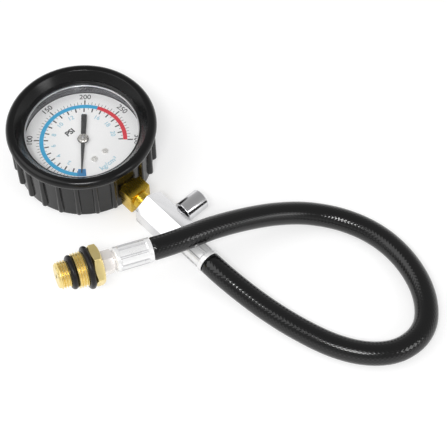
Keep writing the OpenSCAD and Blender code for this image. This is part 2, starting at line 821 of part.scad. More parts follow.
// Sector, link and pressure tube
module sector_gear() {
    top_r = sector_r + 0.7 * gear_module;
    root_r = sector_r - 1.25 * gear_module;
    pitch = 360 / sector_teeth_full;
    rim_in_r = root_r - sector_rim;
    rim = [for (k = [sector_tooth_first : sector_tooth_last])
        each tooth(sector_r, sector_teeth_full, top_r, root_r, 180 + k * pitch)];
    from = 180 + (sector_tooth_first - 0.5) * pitch;
    to = 180 + (sector_tooth_last + 0.5) * pitch;
    mid = (from + to) / 2;
    color([0.8, 0.68, 0.35])
    translate([pivot[0], pivot[1], sector_z]) linear_extrude(height = sector_t) difference() {
        union() {
            polygon(concat(rim, [rim_in_r * [cos(to), sin(to)], rim_in_r * [cos(mid), sin(mid)],
                rim_in_r * [cos(from), sin(from)]]));
            for (a = [from + sector_spoke_inset, to - sector_spoke_inset])
                rotate(a) translate([0, -sector_spoke_w / 2]) square([rim_in_r + cut, sector_spoke_w]);
            circle(r = sector_hub_r);
            eye_bar([0, 0], tail_eye - pivot, link_eye_d, link_w);
        }
        circle(d = sector_arbor_d + 2 * push_fit);
        translate(tail_eye - pivot) circle(d = pivot_pin_d + push_fit);
    }
}

module sector_arbor() {
    shoulder_d = sector_arbor_d + 1.2;
    color([0.7, 0.7, 0.72]) translate([pivot[0], pivot[1], 0]) {
        translate([0, 0, tongue_z]) cylinder(d = sector_arbor_d, h = front_top - tongue_z);
        translate([0, 0, back_top + end_play]) cylinder(d = shoulder_d, h = sector_z - back_top - end_play);
        translate([0, 0, sector_top]) cylinder(d = shoulder_d, h = front_z - end_play - sector_top);
    }
}

module link() {
    color([0.75, 0.75, 0.77]) translate([0, 0, link_z]) linear_extrude(height = link_t) difference() {
        eye_bar(tail_eye, tip_eye, link_eye_d, link_w);
        translate(tail_eye) circle(d = pivot_pin_d + 2 * run_fit);
        translate(tip_eye) circle(d = pivot_pin_d + 2 * free_eye_fit);
    }
}

// Headed pivot pin through a plate of the sector's thickness and the link above it
module pivot_pin() {
    head_z = link_z + link_t + pin_head_gap;
    translate([0, 0, sector_z]) cylinder(d = pivot_pin_d, h = head_z - sector_z + pin_head_t);
    translate([0, 0, head_z]) cylinder(d = pin_head_d, h = pin_head_t);
}

module link_pin() {
    color([0.7, 0.7, 0.72]) translate(tail_eye) pivot_pin();
}

module tip_pin() {
    color([0.7, 0.7, 0.72]) translate(tip_eye) pivot_pin();
}

// Flat tube section grown by an offset, standing at the coil's radius
module tube_section(grow) {
    w = tube_w + 2 * grow;
    h = tube_h + 2 * grow;
    translate([tube_r - w / 2, -h / 2 + w / 2]) square([w, h - w]);
    for (y = [-h / 2 + w / 2, h / 2 - w / 2]) translate([tube_r, y]) circle(d = w);
}

module bourdon_tube() {
    color([0.78, 0.62, 0.3]) translate([0, 0, tube_z]) rotate(tube_tip_angle)
        rotate_extrude(angle = tube_root_angle - tube_tip_angle) difference() {
            tube_section(0);
            tube_section(-tube_wall);
        }
}

module bourdon_tip() {
    plug_from = tube_tip_angle - tube_plug_angle;
    lug_root = (tube_r - tip_lug_inset) * [cos(plug_from), sin(plug_from)];
    color([0.8, 0.66, 0.32]) {
        translate([0, 0, tube_z]) rotate(plug_from) rotate_extrude(angle = tube_plug_angle) tube_section(0);
        translate([0, 0, sector_z]) linear_extrude(height = sector_t) difference() {
            eye_bar(lug_root, tip_eye, tip_lug_d, link_w);
            translate(tip_eye) circle(d = pivot_pin_d + push_fit);
        }
    }
}

// Stem block with its square and pipe thread
module socket() {
    block_back = case_in_r - loose_fit;
    bore_start = block_front + stem_bore_floor;
    color([0.8, 0.64, 0.28]) difference() {
        union() {
            along_stem(socket_start) square_bar(socket_af, socket_len);
            along_stem(neck_start) cylinder(d = neck_d, h = neck_end - neck_start);
            along_stem(case_in_r) cylinder(d = shank_d, h = neck_start - case_in_r);
            intersection() {
                along_stem(bore_start) cylinder(d = shank_d, h = case_in_r - bore_start + cut);
                translate([-block_half_w, -case_in_r - cut, case_floor_z])
                    cube([2 * block_half_w, case_in_r, block_top - case_floor_z]);
            }
            intersection() {
                translate([-block_half_w, -block_back, case_floor_z])
                    cube([2 * block_half_w, block_back - block_front, block_top - case_floor_z]);
                cylinder(r = block_back, h = boot_h);
            }
            translate([-tongue_half_w, -block_front - cut, case_floor_z])
                cube([2 * tongue_half_w, block_front - tongue_front + cut, tongue_t]);
        }
        along_stem(bore_start) cylinder(d = stem_bore_d, h = neck_end);
        translate([-block_half_w - cut, block_roof - tube_r, stem_h]) rotate([0, 90, 0])
            cylinder(d = tube_w / 2, h = block_half_w + cut);
        translate([0, 0, tube_z]) rotate(tube_root_angle - tube_seat_angle)
            rotate_extrude(angle = tube_seat_angle + tube_seat_play) tube_section(push_fit);
        for (x = [-case_screw_x, case_screw_x])
            translate([x, case_screw_y, case_z])
                cylinder(d = case_screw_d + 2 * push_fit, h = case_screw_depth);
        at_movement_screws() translate([0, 0, case_floor_z + screw_end_gap])
            cylinder(d = movement_screw_d + 2 * push_fit, h = tongue_t);
    }
}

module case_screws() {
    color([0.7, 0.7, 0.72]) for (x = [-case_screw_x, case_screw_x])
        translate([x, case_screw_y, case_z]) rotate([180, 0, 0])
            slotted_screw(case_screw_d, case_screw_head_d, case_screw_head_t,
                case_screw_depth - screw_end_gap);
}

// Bleed valve
module valve_body() {
    color([0.86, 0.87, 0.88]) difference() {
        along_stem(valve_start) flat_bar(6, valve_af, valve_len, valve_af / 2 + valve_end_over);
        along_stem(valve_start - cut)
            cylinder(d = neck_d + 2 * push_fit, h = neck_grip + thread_relief + cut);
        along_stem(valve_start) cylinder(d = chamber_d, h = valve_len - outlet_depth + cut);
        along_stem(valve_end - outlet_depth) cylinder(d = outlet_d + 2 * push_fit, h = outlet_depth + cut);
        along_bleed(0) cylinder(d = bush_thread_d + 2 * push_fit, h = valve_af);
    }
}

module bleed_bush() {
    color([0.75, 0.75, 0.77]) difference() {
        union() {
            along_bleed(bush_inner_x) cylinder(d = bush_thread_d, h = valve_af / 2 - bush_inner_x);
            along_bleed(bush_inner_x + cut) cylinder(d = button_neck_d, h = neck_end_x - bush_inner_x - cut);
        }
        along_bleed(0) cylinder(d = bleed_stem_d + 2 * run_fit, h = neck_end_x + cut);
    }
}

module bleed_button() {
    r = button_d / 2;
    depth = button_len - button_top_t;
    seat = depth + stem_seat_depth;
    seat_r = bleed_stem_d / 2 + push_fit;
    color([0.88, 0.89, 0.9]) along_bleed(button_x) rotate_extrude() polygon([
        [button_bore_d / 2, 0], [r - button_edge / 2, 0], [r, button_edge / 2],
        [r, button_len - button_edge], [r - button_edge, button_len], [0, button_len],
        [0, seat], [seat_r, seat], [seat_r, depth], [button_bore_d / 2, depth]
    ]);
}

module bleed_stem() {
    head_x = bush_inner_x - bleed_seat_gap - bleed_seal_t - bleed_head_t;
    end_x = button_end_x - button_top_t + stem_seat_depth - stem_end_gap;
    color([0.78, 0.66, 0.32]) {
        along_bleed(head_x) cylinder(d = bleed_head_d, h = bleed_head_t);
        along_bleed(head_x) cylinder(d = bleed_stem_d, h = end_x - head_x);
    }
}

module bleed_seal() {
    color([0.08, 0.08, 0.08]) along_bleed(bush_inner_x - bleed_seat_gap - bleed_seal_t)
        ring(bleed_head_d / 2, bleed_stem_d / 2 + push_fit, bleed_seal_t);
}

module bleed_spring() {
    room = button_end_x - button_top_t - neck_end_x;
    color([0.7, 0.7, 0.72]) along_bleed(neck_end_x + push_fit)
        coil_spring(bleed_spring_r, spring_wire_d, room - 2 * push_fit, bleed_spring_turns);
}

// Hose and its crimped ends
module crimped_ferrule() {
    flat_r = ferrule_r - crimp_depth;
    shoulder = ferrule_round * (1 - cos(45));
    stretch = ferrule_len - 2 * ferrule_collar;
    difference() {
        rotate_extrude() polygon([
            [ferrule_bore_r, 0], [ferrule_r - ferrule_chamfer, 0], [ferrule_r, ferrule_chamfer],
            [ferrule_r, ferrule_len - ferrule_round], [ferrule_r - shoulder, ferrule_len - shoulder],
            [ferrule_r - ferrule_round, ferrule_len], [barb_d / 2 + push_fit, ferrule_len],
            [barb_d / 2 + push_fit, ferrule_len - ferrule_lip_t],
            [ferrule_bore_r, ferrule_len - ferrule_lip_t]
        ]);
        translate([0, 0, ferrule_collar]) difference() {
            cylinder(r = ferrule_r + cut, h = stretch);
            cylinder(r = flat_r / cos(180 / crimp_flats), h = stretch, $fn = crimp_flats);
        }
    }
}

module near_ferrule() {
    color([0.84, 0.84, 0.85]) along_stem(near_mouth) rotate([180, 0, 0]) crimped_ferrule();
}

module far_ferrule() {
    color([0.84, 0.84, 0.85]) along_far(0) crimped_ferrule();
}

// Barbed tail of a nipple along z, ending at z = len
module barbed_tail(len) {
    rotate_extrude() polygon(concat(
        [[nipple_bore_d / 2, 0]],
        [for (i = [0 : barb_count - 1]) each [
            [barb_d / 2 - barb_depth, i * barb_pitch], [barb_d / 2, (i + 1) * barb_pitch - barb_edge]
        ]],
        [[barb_d / 2, len], [nipple_bore_d / 2, len]]
    ));
}

module near_nipple() {
    thread_start = valve_end - outlet_depth + nipple_end_gap;
    color([0.82, 0.82, 0.83]) difference() {
        union() {
            along_stem(near_ferrule_start + nipple_tail_len) rotate([180, 0, 0])
                barbed_tail(nipple_tail_len + cut);
            along_stem(valve_end) cylinder(d = nipple_collar_d, h = nipple_collar_t);
            along_stem(thread_start) cylinder(d = outlet_d, h = valve_end - thread_start);
        }
        along_stem(valve_end - outlet_depth) cylinder(d = nipple_bore_d, h = ferrule_len);
    }
}

module hose() {
    along = concat(
        [[0, -near_ferrule_start - hose_end_inset, stem_h], [0, -near_mouth, stem_h],
            [0, -near_mouth - hose_shoulder, stem_h]],
        free_route,
        [far_mouth - hose_shoulder * far_axis, far_mouth,
            far_mouth + (ferrule_len - hose_end_inset) * far_axis]
    );
    last = len(along) - 1;
    outer = [for (i = [0 : last]) i < 2 || i > last - 2 ? hose_squeezed_r : hose_r];
    inner = [for (i = [0 : last]) hose_bore / 2];
    color([0.07, 0.07, 0.075]) swept_pipe(along, outer, inner, hose_sides);
}

module far_nipple() {
    color([0.85, 0.84, 0.82]) difference() {
        union() {
            along_far(far_collar - nipple_tail_len) barbed_tail(nipple_tail_len + cut);
            along_far(far_collar) cylinder(d = nipple_collar_d, h = nipple_collar_t + cut);
            along_far(nipple_hex_start) hex_bar(nipple_af, nipple_hex_len);
            along_far(adaptor_start - cut) cylinder(d = nipple_thread_d, h = nipple_thread_len + cut);
        }
        along_far(0) cylinder(d = nipple_bore_d, h = adaptor_end);
    }
}

// Adaptor and its seals
module adaptor() {
    large_r = large_thread_d / 2;
    small_r = small_thread_d / 2;
    color([0.82, 0.66, 0.26]) difference() {
        union() {
            along_far(adaptor_start) hex_bar(adaptor_af, adaptor_hex_len);
            along_far(adaptor_face - cut) cylinder(r = large_groove_r, h = groove_w + cut);
            along_far(large_land_start) cylinder(r = large_r, h = large_thread_len);
            along_far(small_groove_start) cylinder(r = small_groove_r, h = groove_w);
            along_far(small_land_start) cylinder(r = small_r, h = small_thread_len - thread_chamfer);
            along_far(adaptor_end - thread_chamfer)
                cylinder(r1 = small_r, r2 = small_r - thread_chamfer, h = thread_chamfer);
        }
        along_far(adaptor_start - cut)
            cylinder(d = nipple_thread_d + 2 * push_fit, h = nipple_thread_len + thread_relief + cut);
        along_far(adaptor_start)
            cylinder(d = core_d + 2 * push_fit, h = adaptor_end - tip_wall - adaptor_start);
        along_far(adaptor_start) cylinder(d = tip_hole_d, h = adaptor_end);
    }
}

module o_ring(mean_r) {
    color([0.06, 0.06, 0.06]) rotate_extrude() translate([mean_r, 0]) circle(r = ring_r);
}

module large_o_ring() {
    along_far(adaptor_face + groove_w / 2) o_ring(large_ring_r);
}

module small_o_ring() {
    along_far(small_groove_start + groove_w / 2) o_ring(small_ring_r);
}

// Valve core in the adaptor's bore
module valve_core_body() {
    color([0.78, 0.66, 0.32]) along_far(core_start) difference() {
        cylinder(d = core_d, h = core_len);
        translate([0, 0, core_guide_len]) cylinder(d = core_collar_d + 2 * core_room, h = core_len);
        translate([0, 0, -cut]) cylinder(d = core_pin_d + 2 * run_fit, h = core_len);
    }
}

module valve_core_pin() {
    cup_start = core_start - push_fit - core_seal_t - core_cup_t;
    collar_start = core_start + core_len - core_collar_inset - core_collar_t;
    pin_end = adaptor_end - core_pin_recess;
    color([0.8, 0.7, 0.4]) {
        along_far(cup_start) cylinder(d = core_cup_d, h = core_cup_t);
        along_far(collar_start) cylinder(d = core_collar_d, h = core_collar_t);
        along_far(cup_start) cylinder(d = core_pin_d, h = pin_end - cup_start);
    }
}

module valve_core_seal() {
    color([0.08, 0.08, 0.08]) along_far(core_start - push_fit - core_seal_t)
        ring(core_cup_d / 2, core_pin_d / 2 + push_fit, core_seal_t);
}

module valve_core_spring() {
    seat = core_start + core_guide_len;
    room = core_len - core_collar_inset - core_collar_t - core_guide_len;
    color([0.7, 0.7, 0.72]) along_far(seat + push_fit)
        coil_spring(core_spring_r, core_spring_wire_d, room - 2 * push_fit, core_spring_turns);
}

boot();
case();
bezel_ring();
lens();
lens_gasket();
dial_plate();
dial_posts();
dial_screws();
pointer();
pointer_bush();
pinion();
hairspring();
hairspring_stud();
movement_back_plate();
movement_front_plate();
movement_pillars();
pillar_screws();
movement_screws();
sector_gear();
sector_arbor();
link();
link_pin();
bourdon_tube();
bourdon_tip();
tip_pin();
socket();
case_screws();
valve_body();
bleed_bush();
bleed_button();
bleed_stem();
bleed_seal();
bleed_spring();
near_nipple();
near_ferrule();
hose();
far_ferrule();
far_nipple();
adaptor();
large_o_ring();
small_o_ring();
valve_core_body();
valve_core_pin();
valve_core_seal();
valve_core_spring();
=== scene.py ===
from math import asin, atan2, ceil, cos, hypot, pi, radians, sin, sqrt, tan

import bmesh
import bpy
from mathutils import Matrix, Vector
from mathutils.geometry import interpolate_bezier


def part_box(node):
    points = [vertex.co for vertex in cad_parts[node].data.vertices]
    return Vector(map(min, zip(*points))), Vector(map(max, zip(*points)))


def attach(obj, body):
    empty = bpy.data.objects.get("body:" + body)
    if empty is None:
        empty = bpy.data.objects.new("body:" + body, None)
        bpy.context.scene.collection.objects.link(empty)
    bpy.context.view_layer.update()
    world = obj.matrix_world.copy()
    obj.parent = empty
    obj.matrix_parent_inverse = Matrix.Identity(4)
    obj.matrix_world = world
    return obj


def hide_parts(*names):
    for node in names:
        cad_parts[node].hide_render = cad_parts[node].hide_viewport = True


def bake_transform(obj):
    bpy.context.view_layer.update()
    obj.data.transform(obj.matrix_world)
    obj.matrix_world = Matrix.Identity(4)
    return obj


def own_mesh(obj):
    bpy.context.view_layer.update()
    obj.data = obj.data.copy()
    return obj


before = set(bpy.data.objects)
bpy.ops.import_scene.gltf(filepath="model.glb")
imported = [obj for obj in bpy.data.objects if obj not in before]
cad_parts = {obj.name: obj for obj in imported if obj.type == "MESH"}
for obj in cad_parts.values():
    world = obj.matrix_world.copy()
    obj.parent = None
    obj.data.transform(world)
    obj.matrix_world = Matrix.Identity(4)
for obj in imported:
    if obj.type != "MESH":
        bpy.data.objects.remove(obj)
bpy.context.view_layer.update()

# Gauge case
# A deep cup pressed from bright plated steel sheet. Two screws through its floor hold it to the stem
# block, and its inner wall shows through the window as a grey metal band above the dial.
mm = 0.001
pattern_range = (0.3, 0.7)


def finish(name, colour, roughness, metallic=0.0):
    """A material of one colour, to which patterns are added."""
    made = bpy.data.materials.new(name)
    made.use_nodes = True
    shader = made.node_tree.nodes["Principled BSDF"]
    shader.inputs["Base Color"].default_value = (*colour, 1)
    shader.inputs["Roughness"].default_value = roughness
    shader.inputs["Metallic"].default_value = metallic
    return made


def pattern(made, stretch=(1, 1, 1), **settings):
    """A noise texture on the piece's own coordinates, in metres, that gives 0 to 1."""
    nodes, links = made.node_tree.nodes, made.node_tree.links
    mapping = nodes.new("ShaderNodeMapping")
    mapping.inputs["Scale"].default_value = stretch
    links.new(nodes.new("ShaderNodeTexCoord").outputs["Object"], mapping.inputs["Vector"])
    texture = nodes.new("ShaderNodeTexNoise")
    for socket, value in settings.items():
        texture.inputs[socket].default_value = value
    links.new(mapping.outputs["Vector"], texture.inputs["Vector"])
    return texture.outputs[0]


def vary(made, socket, source, low, high):
    """Drives a plain number of the shader from a pattern's middle range."""
    nodes, links = made.node_tree.nodes, made.node_tree.links
    span = nodes.new("ShaderNodeMapRange")
    for name, value in zip(("From Min", "From Max", "To Min", "To Max"), (*pattern_range, low, high)):
        span.inputs[name].default_value = value
    links.new(source, span.inputs["Value"])
    links.new(span.outputs["Result"], nodes["Principled BSDF"].inputs[socket])


def tint(made, source, low, high):
    """Colours the shader between two colours along a pattern's middle range."""
    nodes, links = made.node_tree.nodes, made.node_tree.links
    ramp = nodes.new("ShaderNodeValToRGB")
    for stop, place, colour in zip(ramp.color_ramp.elements, pattern_range, (low, high)):
        stop.position = place
        stop.color = (*colour, 1)
    links.new(source, ramp.inputs["Fac"])
    links.new(ramp.outputs["Color"], nodes["Principled BSDF"].inputs["Base Color"])


def relief(made, source, depth):
    """Raises the surface by a pattern, to a depth in metres."""
    nodes, links = made.node_tree.nodes, made.node_tree.links
    bump = nodes.new("ShaderNodeBump")
    bump.inputs["Distance"].default_value = depth
    links.new(source, bump.inputs["Height"])
    links.new(bump.outputs["Normal"], nodes["Principled BSDF"].inputs["Normal"])


def dress(made, *nodes):
    """Gives CAD nodes their finish."""
    for node in nodes:
        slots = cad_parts[node].data.materials
        slots.clear()
        slots.append(made)


case_steel = finish("case_steel", (0.14, 0.14, 0.15), 0.16, 1.0)
case_grain = pattern(case_steel, Scale=500, Detail=4)
vary(case_steel, "Roughness", case_grain, 0.12, 0.2)
relief(case_steel, case_grain, 0.001 * mm)
dress(case_steel, "case")

screw_steel = finish("screw_steel", (0.62, 0.62, 0.64), 0.28, 1.0)
screw_grain = pattern(screw_steel, Scale=2400, Detail=3)
vary(screw_steel, "Roughness", screw_grain, 0.2, 0.4)
dress(screw_steel, "case_screws", "movement_screws", "pillar_screws", "sector_arbor", "link_pin",
      "tip_pin", "pinion")

# Stem block
# A brass forging: a block inside the case, a square for the spanner outside the boot, and a pipe thread
# that screws into the bleed valve. The square is milled and left with a fine satin grain.
socket_af = 13 * mm
socket_len = 8 * mm
socket_start = 37.6 * mm
corner_cut = 0.6 * mm
square_edge = 0.3 * mm
shank_cut = 0.3 * mm
neck_r = 4.9 * mm
neck_pitch = 0.94 * mm
neck_overlap = 1 * mm
neck_chamfer = 0.9 * mm
neck_bore_r, neck_bore_depth = 2 * mm, 8 * mm
merge_gap = 0.001 * mm
stem_z = sum(corner.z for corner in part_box("valve_body")) / 2
neck_end_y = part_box("socket")[0].y


def turned(profile, steps=96, closed=False):
    """A profile of (radius, height) points turned about z."""
    bm = bmesh.new()
    verts = [bm.verts.new((r, 0, z)) for r, z in profile]
    edges = [bm.edges.new(pair) for pair in zip(verts, verts[1:] + verts[:1] if closed else verts[1:])]
    bmesh.ops.spin(bm, geom=verts + edges, axis=(0, 0, 1), angle=2 * pi, steps=steps, use_merge=True)
    bmesh.ops.remove_doubles(bm, verts=bm.verts, dist=merge_gap)
    bmesh.ops.recalc_face_normals(bm, faces=bm.faces)
    return bm


def off_flat(x, y, sides):
    """Angle from the middle of the nearest side of a polygon that has one side towards +x."""
    side = 2 * pi / sides
    return (atan2(y, x) + side / 2) % side - side / 2


def flat_bar(sides, across, length, end_r, bore=0.0, edge=0.15 * mm):
    """Bar along z with a flat towards +x, both ends turned to a chamfer, and a bore."""
    chamfer_angle, sharp_angle = radians(30), radians(40)
    bore_wall = 1 * mm
    corner_r = across / 2 / cos(pi / sides)
    foot = [(bore, 0), (end_r, 0), (2 * corner_r, 0)]
    bm = turned(foot + [(r, length) for r, _ in reversed(foot)], closed=bore > 0)
    for v in bm.verts:
        radius = hypot(v.co.x, v.co.y)
        if radius > bore + 10 * merge_gap:
            flat = across / 2 / cos(off_flat(v.co.x, v.co.y, sides))
            reach = flat if radius > corner_r else min(flat, end_r)
            drop = max(0, reach - end_r) * tan(chamfer_angle)
            v.co.x *= reach / radius
            v.co.y *= reach / radius
            v.co.z += drop if v.co.z < length / 2 else -drop
    bmesh.ops.remove_doubles(bm, verts=bm.verts, dist=merge_gap)
    bmesh.ops.recalc_face_normals(bm, faces=bm.faces)
    sharp = [e for e in bm.edges if e.is_manifold and e.calc_face_angle() > sharp_angle and
             min(hypot(v.co.x, v.co.y) for v in e.verts) > bore + bore_wall]
    bmesh.ops.bevel(bm, geom=sharp, offset=edge, offset_type="OFFSET", segments=3, profile=0.5,
                    affect="EDGES", material=-1, clamp_overlap=True)
    return bm


def threaded_rod(crest_r, pitch, length, chamfer=0.0, hole_r=0.0, hole_depth=0.0, steps=60):
    """Rod along z with a cut thread, a chamfer and a hole at its end, the hole marked for painted shade."""
    depth_share = 0.6
    depth = depth_share * pitch
    root_end, crest_start = 0.12, 0.44
    lead_in = 1.5
    hole_edge = 0.2 * mm
    turns = ceil(length / pitch) + 2
    flank = [(-depth, 0), (-depth, root_end), (0, crest_start)]
    tooth = flank + [(r, 1 - z) for r, z in reversed(flank)]
    bm = bmesh.new()
    hole_shade = bm.verts.layers.float.new("hole_shade")
    verts = [bm.verts.new((crest_r + r, 0, (z - lead_in) * pitch)) for r, z in tooth]
    edges = [bm.edges.new(pair) for pair in zip(verts, verts[1:])]
    bmesh.ops.spin(bm, geom=verts + edges, axis=(0, 0, 1), dvec=(0, 0, pitch / steps),
                   angle=2 * pi * turns, steps=steps * turns)
    bmesh.ops.remove_doubles(bm, verts=bm.verts, dist=2 * merge_gap)
    for z, side in ((0, -1), (length, 1)):
        cut = bmesh.ops.bisect_plane(bm, geom=bm.verts[:] + bm.edges[:] + bm.faces[:], dist=merge_gap,
                                     plane_co=(0, 0, z), plane_no=(0, 0, side), clear_outer=True)
        rim = [e for e in cut["geom_cut"] if isinstance(e, bmesh.types.BMEdge)]
        if side > 0:
            for v in bm.verts:
                limit = crest_r - max(0, v.co.z - length + chamfer)
                share = min(1, limit / hypot(v.co.x, v.co.y))
                v.co.x *= share
                v.co.y *= share
            for drop in (0, hole_edge, hole_depth) if hole_r else ():
                grown = bmesh.ops.extrude_edge_only(bm, edges=rim)["geom"]
                rim = [e for e in grown if isinstance(e, bmesh.types.BMEdge)]
                for v in (v for v in grown if isinstance(v, bmesh.types.BMVert)):
                    share = hole_r / hypot(v.co.x, v.co.y)
                    v.co = (v.co.x * share, v.co.y * share, length - drop)
                    # The hole's wall is marked for a near-black painted shade.
                    v[hole_shade] = drop > 0
        bmesh.ops.edgeloop_fill(bm, edges=rim)
    bmesh.ops.recalc_face_normals(bm, faces=bm.faces)
    return bm


def joined(*parts):
    """One bmesh of several, each moved to its height along z."""
    bm = bmesh.new()
    for part, height in parts:
        bmesh.ops.translate(part, verts=part.verts, vec=(0, 0, height))
        spare = bpy.data.meshes.new("spare")
        part.to_mesh(spare)
        part.free()
        bm.from_mesh(spare)
        bpy.data.meshes.remove(spare)
    return bm


def piece(name, bm, made, place=None, crease=32):
    """The bmesh as an object at the origin, with its place in its mesh and its sharp edges kept."""
    if place:
        bmesh.ops.transform(bm, matrix=place, verts=bm.verts)
    mesh = bpy.data.meshes.new(name)
    bm.to_mesh(mesh)
    bm.free()
    mesh.polygons.foreach_set("use_smooth", [True] * len(mesh.polygons))
    mesh.set_sharp_from_angle(angle=radians(crease))
    mesh.materials.append(made)
    made_piece = bpy.data.objects.new(name, mesh)
    bpy.context.scene.collection.objects.link(made_piece)
    return made_piece


def merged(node):
    """A copy of a CAD node with its loose triangles joined."""
    bm = bmesh.new()
    bm.from_mesh(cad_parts[node].data)
    bmesh.ops.remove_doubles(bm, verts=bm.verts, dist=merge_gap)
    return bm


def along_stem(distance):
    """Turns a piece's z to the stem's way out of the gauge, at a distance from the gauge's axis."""
    return Matrix.Translation((0, -distance, stem_z)) @ Matrix.Rotation(pi / 2, 4, "X")


stem_brass = finish("stem_brass", (0.67, 0.45, 0.05), 0.28, 1.0)
stem_grain = pattern(stem_brass, stretch=(1, 0.3, 1), Scale=1600, Detail=4)
vary(stem_brass, "Roughness", stem_grain, 0.24, 0.3)
relief(stem_brass, stem_grain, 0.0006 * mm)
tint(stem_brass, pattern(stem_brass, Scale=160, Detail=3), (0.63, 0.42, 0.045),
     (0.71, 0.48, 0.06))

inner = merged("socket")
cut = bmesh.ops.bisect_plane(inner, geom=inner.verts[:] + inner.edges[:] + inner.faces[:],
                             plane_co=(0, shank_cut - socket_start, 0), plane_no=(0, -1, 0),
                             clear_outer=True)
bmesh.ops.holes_fill(inner, edges=[e for e in cut["geom_cut"] if isinstance(e, bmesh.types.BMEdge)])
bmesh.ops.translate(inner, verts=[v for v in cut["geom_cut"] if isinstance(v, bmesh.types.BMVert)],
                    vec=(0, -2 * shank_cut, 0))
bmesh.ops.transform(inner, matrix=along_stem(0).inverted(), verts=inner.verts)
neck_foot = socket_start + socket_len - neck_overlap
neck = threaded_rod(neck_r, neck_pitch, -neck_end_y - neck_foot, chamfer=neck_chamfer,
                    hole_r=neck_bore_r, hole_depth=neck_bore_depth)
square = flat_bar(4, socket_af, socket_len, socket_af / 2 / cos(pi / 4) - corner_cut, edge=square_edge)
stem_mesh = joined((inner, 0), (square, socket_start), (neck, neck_foot))
socket = piece("stem_block", stem_mesh, stem_brass, along_stem(0))
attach(socket, "gauge")
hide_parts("socket")

# Pressure tube and movement
# A flat bronze tube, bent to an open coil and brazed to the stem block, pulls a link with its free end.
# The link swings a stamped brass sector that turns the pointer's pinion, all of it behind the dial.
movement_brass = finish("movement_brass", (0.68, 0.5, 0.2), 0.26, 1.0)
movement_grain = pattern(movement_brass, stretch=(0.1, 1, 1), Scale=2000, Detail=4)
vary(movement_brass, "Roughness", movement_grain, 0.18, 0.36)
relief(movement_brass, movement_grain, 0.008 * mm)
dress(movement_brass, "movement_back_plate", "movement_front_plate", "movement_pillars", "sector_gear",
      "hairspring_stud", "dial_posts")

tube_bronze = finish("tube_bronze", (0.6, 0.38, 0.16), 0.3, 1.0)
tube_grain = pattern(tube_bronze, stretch=(1, 1, 0.15), Scale=1400, Detail=4)
vary(tube_bronze, "Roughness", tube_grain, 0.22, 0.42)
dress(tube_bronze, "bourdon_tip")
pressure_tube = piece("pressure_tube", merged("bourdon_tube"), tube_bronze)
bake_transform(pressure_tube)
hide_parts("bourdon_tube")

spring_steel = finish("spring_steel", (0.4, 0.42, 0.48), 0.25, 1.0)
spring_grain = pattern(spring_steel, Scale=3000, Detail=2)
vary(spring_steel, "Roughness", spring_grain, 0.18, 0.34)
dress(spring_steel, "hairspring", "link")

# Dial
# A thin aluminium disc, stove-enamelled white and held by two slotted screws. The scale is pad-printed
# in black, blue, red and pale blue ink: the outer scale is in psi and the inner one in kg/cm2.
dial_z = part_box("dial_plate")[1].z
ink_t = 0.03 * mm
zero_angle = radians(-132)
scale_sweep = radians(270)
scale_top = 300
psi_per_kg_cm2 = 14.2233
inner_top = scale_top / psi_per_kg_cm2
arc_in, arc_out = 21.1 * mm, 23.3 * mm
red_from = 220
zero_half = radians(6)
zero_in = 18.7 * mm
outer_ticks_from, inner_ticks_to = 23.4 * mm, 21 * mm
fifty_tick_to, ten_tick_to, five_tick_to = 26.3 * mm, 25.2 * mm, 24.7 * mm
whole_tick_from, half_tick_from = 18.6 * mm, 20.1 * mm
fifty_tick_w, whole_tick_w, fine_tick_w = 0.65 * mm, 0.7 * mm, 0.25 * mm
outer_figure_h, outer_figure_r, outer_figure_weight = 3 * mm, 28.4 * mm, 0.03 * mm
outer_unit_at, outer_unit_weight = (-2 * mm, 8.6 * mm, dial_z), 0.15 * mm
inner_figure_h, inner_figure_r, inner_figure_weight = 2.4 * mm, 16 * mm, 0.05 * mm
inner_unit_h, inner_unit_at = 2.8 * mm, (0, -20.6 * mm, dial_z)

dial_white = finish("dial_white", (0.88, 0.88, 0.88), 0.35)
dial_speck = pattern(dial_white, Scale=1800, Detail=3)
vary(dial_white, "Roughness", dial_speck, 0.3, 0.42)
tint(dial_white, pattern(dial_white, Scale=40, Detail=2), (0.87, 0.87, 0.87),
     (0.89, 0.89, 0.89))
relief(dial_white, dial_speck, 0.004 * mm)
dress(dial_white, "dial_plate")


def scale_angle(value, top=scale_top):
    """Angle of a value on the dial, clockwise from zero."""
    return zero_angle - scale_sweep * value / top


def ink_band(bm, inside, outside, start, end):
    """A printed band between two radii and two angles."""
    arc_step = radians(2)
    ends = [bm.verts.new((r * cos(start), r * sin(start), dial_z)) for r in (inside, outside)]
    line = bm.edges.new(ends)
    bmesh.ops.spin(bm, geom=ends + [line], axis=(0, 0, 1), angle=end - start,
                   steps=ceil(abs(end - start) / arc_step))


def ink_tick(bm, angle, inside, outside, width):
    """A printed radial line."""
    place = Matrix.Rotation(angle, 4, "Z") @ Matrix.Translation(((inside + outside) / 2, 0, dial_z))
    size = Matrix.Diagonal(((outside - inside) / 2, width / 2, 1, 1))
    bmesh.ops.create_grid(bm, x_segments=1, y_segments=1, size=1, matrix=place @ size)


def ink_words(bm, words, height, place, weight=0.0):
    """Printed figures or a unit, centred on a place."""
    capital_share = 0.7
    curve = bpy.data.curves.new("words", "FONT")
    curve.body = words
    curve.size = height / capital_share
    curve.offset = weight
    curve.align_x = "CENTER"
    curve.align_y = "CENTER"
    spare = bpy.data.objects.new("words", curve)
    flat = bpy.data.meshes.new_from_object(spare)
    flat.transform(place)
    bm.from_mesh(flat)
    bpy.data.objects.remove(spare)
    bpy.data.curves.remove(curve)
    bpy.data.meshes.remove(flat)


def around(angle, radius):
    """A place on the dial whose top points outwards."""
    spot = Vector((radius * cos(angle), radius * sin(angle), dial_z))
    return Matrix.Translation(spot) @ Matrix.Rotation(angle - pi / 2, 4, "Z")


